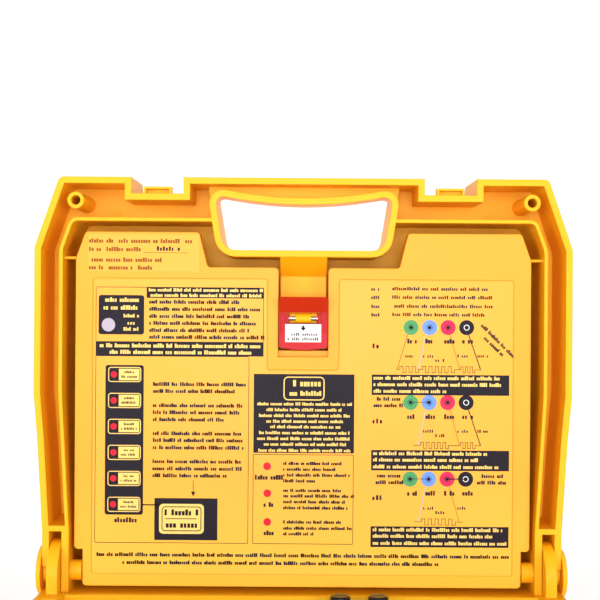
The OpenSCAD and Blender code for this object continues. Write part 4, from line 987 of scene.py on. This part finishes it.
# The keys: two lines in a frame on the range and test keys, a power sign on the third
keyPrint = {
    "print": {"ink": "darkInk", "pitch": 0.62, "word": 9.0, "seed": 12, "h": lifts["low"]}, "testSeed": 14,
    "rangeRows": [(-82, -58.5, -36.0, 3.4), (-80, -60.5, -43.8, 3.4)],
    "rangeRule": [(-82, -40), (-58, -40)], "ruleWidth": 0.45,
    "rangeEdge": (-86.8, -48.4, -53.2, -31.6), "rangeCorner": 1.8, "edgeWidth": 0.5,
    "testRows": [(24, 44.5, -13.2, 4.2), (19.5, 49, -22.0, 3.2)],
    "testEdge": (15.2, -27.4, 52.8, -7.8), "testCorner": 2.0,
    "signX": 105, "signY": -59.2, "signRadius": 3.8, "signGap": 38, "signSteps": 22, "signWidth": 0.9,
    "signBar": [(105, -53.6), (105, -58.8)],
}


def makeKeyPrint():
    p, h = keyPrint, lifts["low"]
    written("rangeKeyLines", level(p["rangeRows"]), p["print"], "rangeKey")
    rangeMarks = stroke(p["rangeRule"], p["ruleWidth"], h)
    rangeMarks += border(p["rangeEdge"], p["edgeWidth"], h, p["rangeCorner"])
    drawn("rangeKeyRule", rangeMarks, "rangeKey", "darkInk")
    written("testKeyLines", level(p["testRows"]), {**p["print"], "seed": p["testSeed"]}, "testKey")
    testMarks = border(p["testEdge"], p["edgeWidth"], h, p["testCorner"])
    drawn("testKeyRule", testMarks, "testKey", "darkInk")
    gap, steps, radius = p["signGap"], p["signSteps"], p["signRadius"]
    turns = [math.radians(gap + i * (360 - 2 * gap) / steps) for i in range(steps + 1)]
    arc = [(p["signX"] + radius * math.sin(a), p["signY"] + radius * math.cos(a)) for a in turns]
    sign = stroke(arc, p["signWidth"], h) + stroke(p["signBar"], p["signWidth"], h)
    drawn("powerKeySign", sign, "powerKey", "whiteInk")


# The display's unlit segments, faint in the cell
displayPrint = {
    "digits": 5, "first": -44.0, "pitch": 12.4, "wide": 7.6, "tall": 15.0, "centre": 37.2,
    "stroke": 1.05, "gap": 1.125, "pointX": 2.3, "pointRadius": 0.8,
}


def makeDisplayPrint():
    p, h = displayPrint, lifts["low"]
    gap, marks = p["gap"], []
    for i in range(p["digits"]):
        x0 = p["first"] + i * p["pitch"] - p["wide"] / 2
        x1, y0 = x0 + p["wide"], p["centre"] - p["tall"] / 2
        y1, middle = y0 + p["tall"], p["centre"]
        segments = [((x0 + gap, y), (x1 - gap, y)) for y in (y1, middle, y0)]
        for x in (x0, x1):
            segments += [((x, y1 - gap), (x, middle + gap)), ((x, middle - gap), (x, y0 + gap))]
        for segment in segments:
            marks += stroke(segment, p["stroke"], h)
        if i < p["digits"] - 1:
            marks.append(dot(x1 + p["pointX"], y0, p["pointRadius"], h))
    drawn("displaySegments", marks, "display", "segmentInk")


# Small moulded and pressed marks: ejector pins in the lid's channels, and on the panel's screws flat black
# crosses, painted shade standing for the shade in their pressed cross recesses
ejectorMarks = {
    "radius": 2.0, "slope": 0.35, "tall": 0.35, "foot": 0.1, "steps": 24, "channelIn": 38,
    "places": [(-158.4, 197), (-158.2, 134), (-157.6, 85), (158.4, 192), (158.2, 128), (157.6, 80),
               (-120, 224.5), (120, 224.5)],        # across, and up from the hinge
}
screwCrossShade = {
    "reach": 1.9, "wide": 0.75, "lift": 0.03,
    "places": [(138, 82.4), (140, -6.6), (133, -90.6), (-138, 82.4), (-140, -6.6), (-133, -90.6)],
}


def laidOut(name, points, faces, spots, finish, body):
    shape = bpy.data.meshes.new(name + "Shape")
    shape.from_pydata([Vector(v) * millimetre for v in points], [], faces)
    master = bpy.data.objects.new(name + "Master", shape)
    bpy.context.collection.objects.link(master)
    places = bpy.data.meshes.new(name + "Spots")
    places.from_pydata([Vector(v) * millimetre for v in spots], [], [])
    laid = grown(places, onSpots, {"Piece": master, "Finish": finishes[finish]})
    bpy.data.objects.remove(master)
    addPiece(name, laid, body)


def makeEjectorMarks():
    m = ejectorMarks
    steps, face = m["steps"], faceOf("lid_shell", 1, 0)
    outer, inner = circle(0, 0, m["radius"], steps), circle(0, 0, m["radius"] - m["slope"], steps)
    points = [(x, -m["foot"], y) for x, y in outer] + [(x, -m["tall"], y) for x, y in inner]
    faces = [(i, (i + 1) % steps, steps + (i + 1) % steps, steps + i) for i in range(steps)]
    faces.append(tuple(range(steps, 2 * steps)))
    spots = [(x, face + m["channelIn"], hingeHeight + up) for x, up in m["places"]]
    laidOut("lidEjectorMarks", points, faces, spots, "caseYellow", "lid")


# Thin flat black crosses on the screw heads: painted shade of the cross recesses
def makeScrewCrossShade():
    m = screwCrossShade
    reach, half, lift, top = m["reach"], m["wide"] / 2, m["lift"], faceOf("panel_screws", 2, 1)
    loop = [(half, half), (half, reach), (-half, reach), (-half, half), (-reach, half), (-reach, -half),
            (-half, -half), (-half, -reach), (half, -reach), (half, -half), (reach, -half), (reach, half)]
    cross, face = raised(loop, lift), tuple(range(len(loop)))
    spots = [(x, y, top) for x, y in m["places"]]
    laidOut("panelScrewCrosses", cross, [face], spots, "blackPlastic", "base")


def makeStage():
    s = stageSizes
    bendStart = s["depth"] - s["bend"]
    profile = [(-s["reach"], 0.0), (bendStart, 0.0)]
    for i in range(1, s["bendSteps"] + 1):
        a = math.radians(90 * i / s["bendSteps"])
        profile.append((bendStart + s["bend"] * math.sin(a), s["bend"] * (1 - math.cos(a))))
    profile.append((s["depth"], s["height"]))
    points = [(x, y, z) for x in (-s["reach"], s["reach"]) for y, z in profile]
    count = len(profile)
    mesh = bpy.data.meshes.new("floor")
    mesh.from_pydata(points, [], [(i, count + i, count + i + 1, i + 1) for i in range(count - 1)])
    material, bench, surface = newFinish("floorPaper", s["rough"])
    bench.feed(surface, Base_Color=rgba(s["colour"]))
    mesh.materials.append(material)
    floor = bpy.data.objects.new("floor", mesh)
    bpy.context.collection.objects.link(floor)
    for face in mesh.polygons:
        face.use_smooth = True


placeCamera()
placeLamps()
lightWorld()
makeStage()
print("camera, lamps and floor placed")
windows, centres = windowBoxes(), socketCentres()
makeSheetDark(windows, centres)
makeSheetPale(windows)
makeSheetColours(windows, centres)
makeSheetWriting(windows)
makeDatePrint()
makeStickerPrint()
print("print of the compartment cover laid")
makePanelPrint()
makeKeyPrint()
makeDisplayPrint()
print("print of the panel laid")
makeEjectorMarks()
makeScrewCrossShade()
print("small marks made")
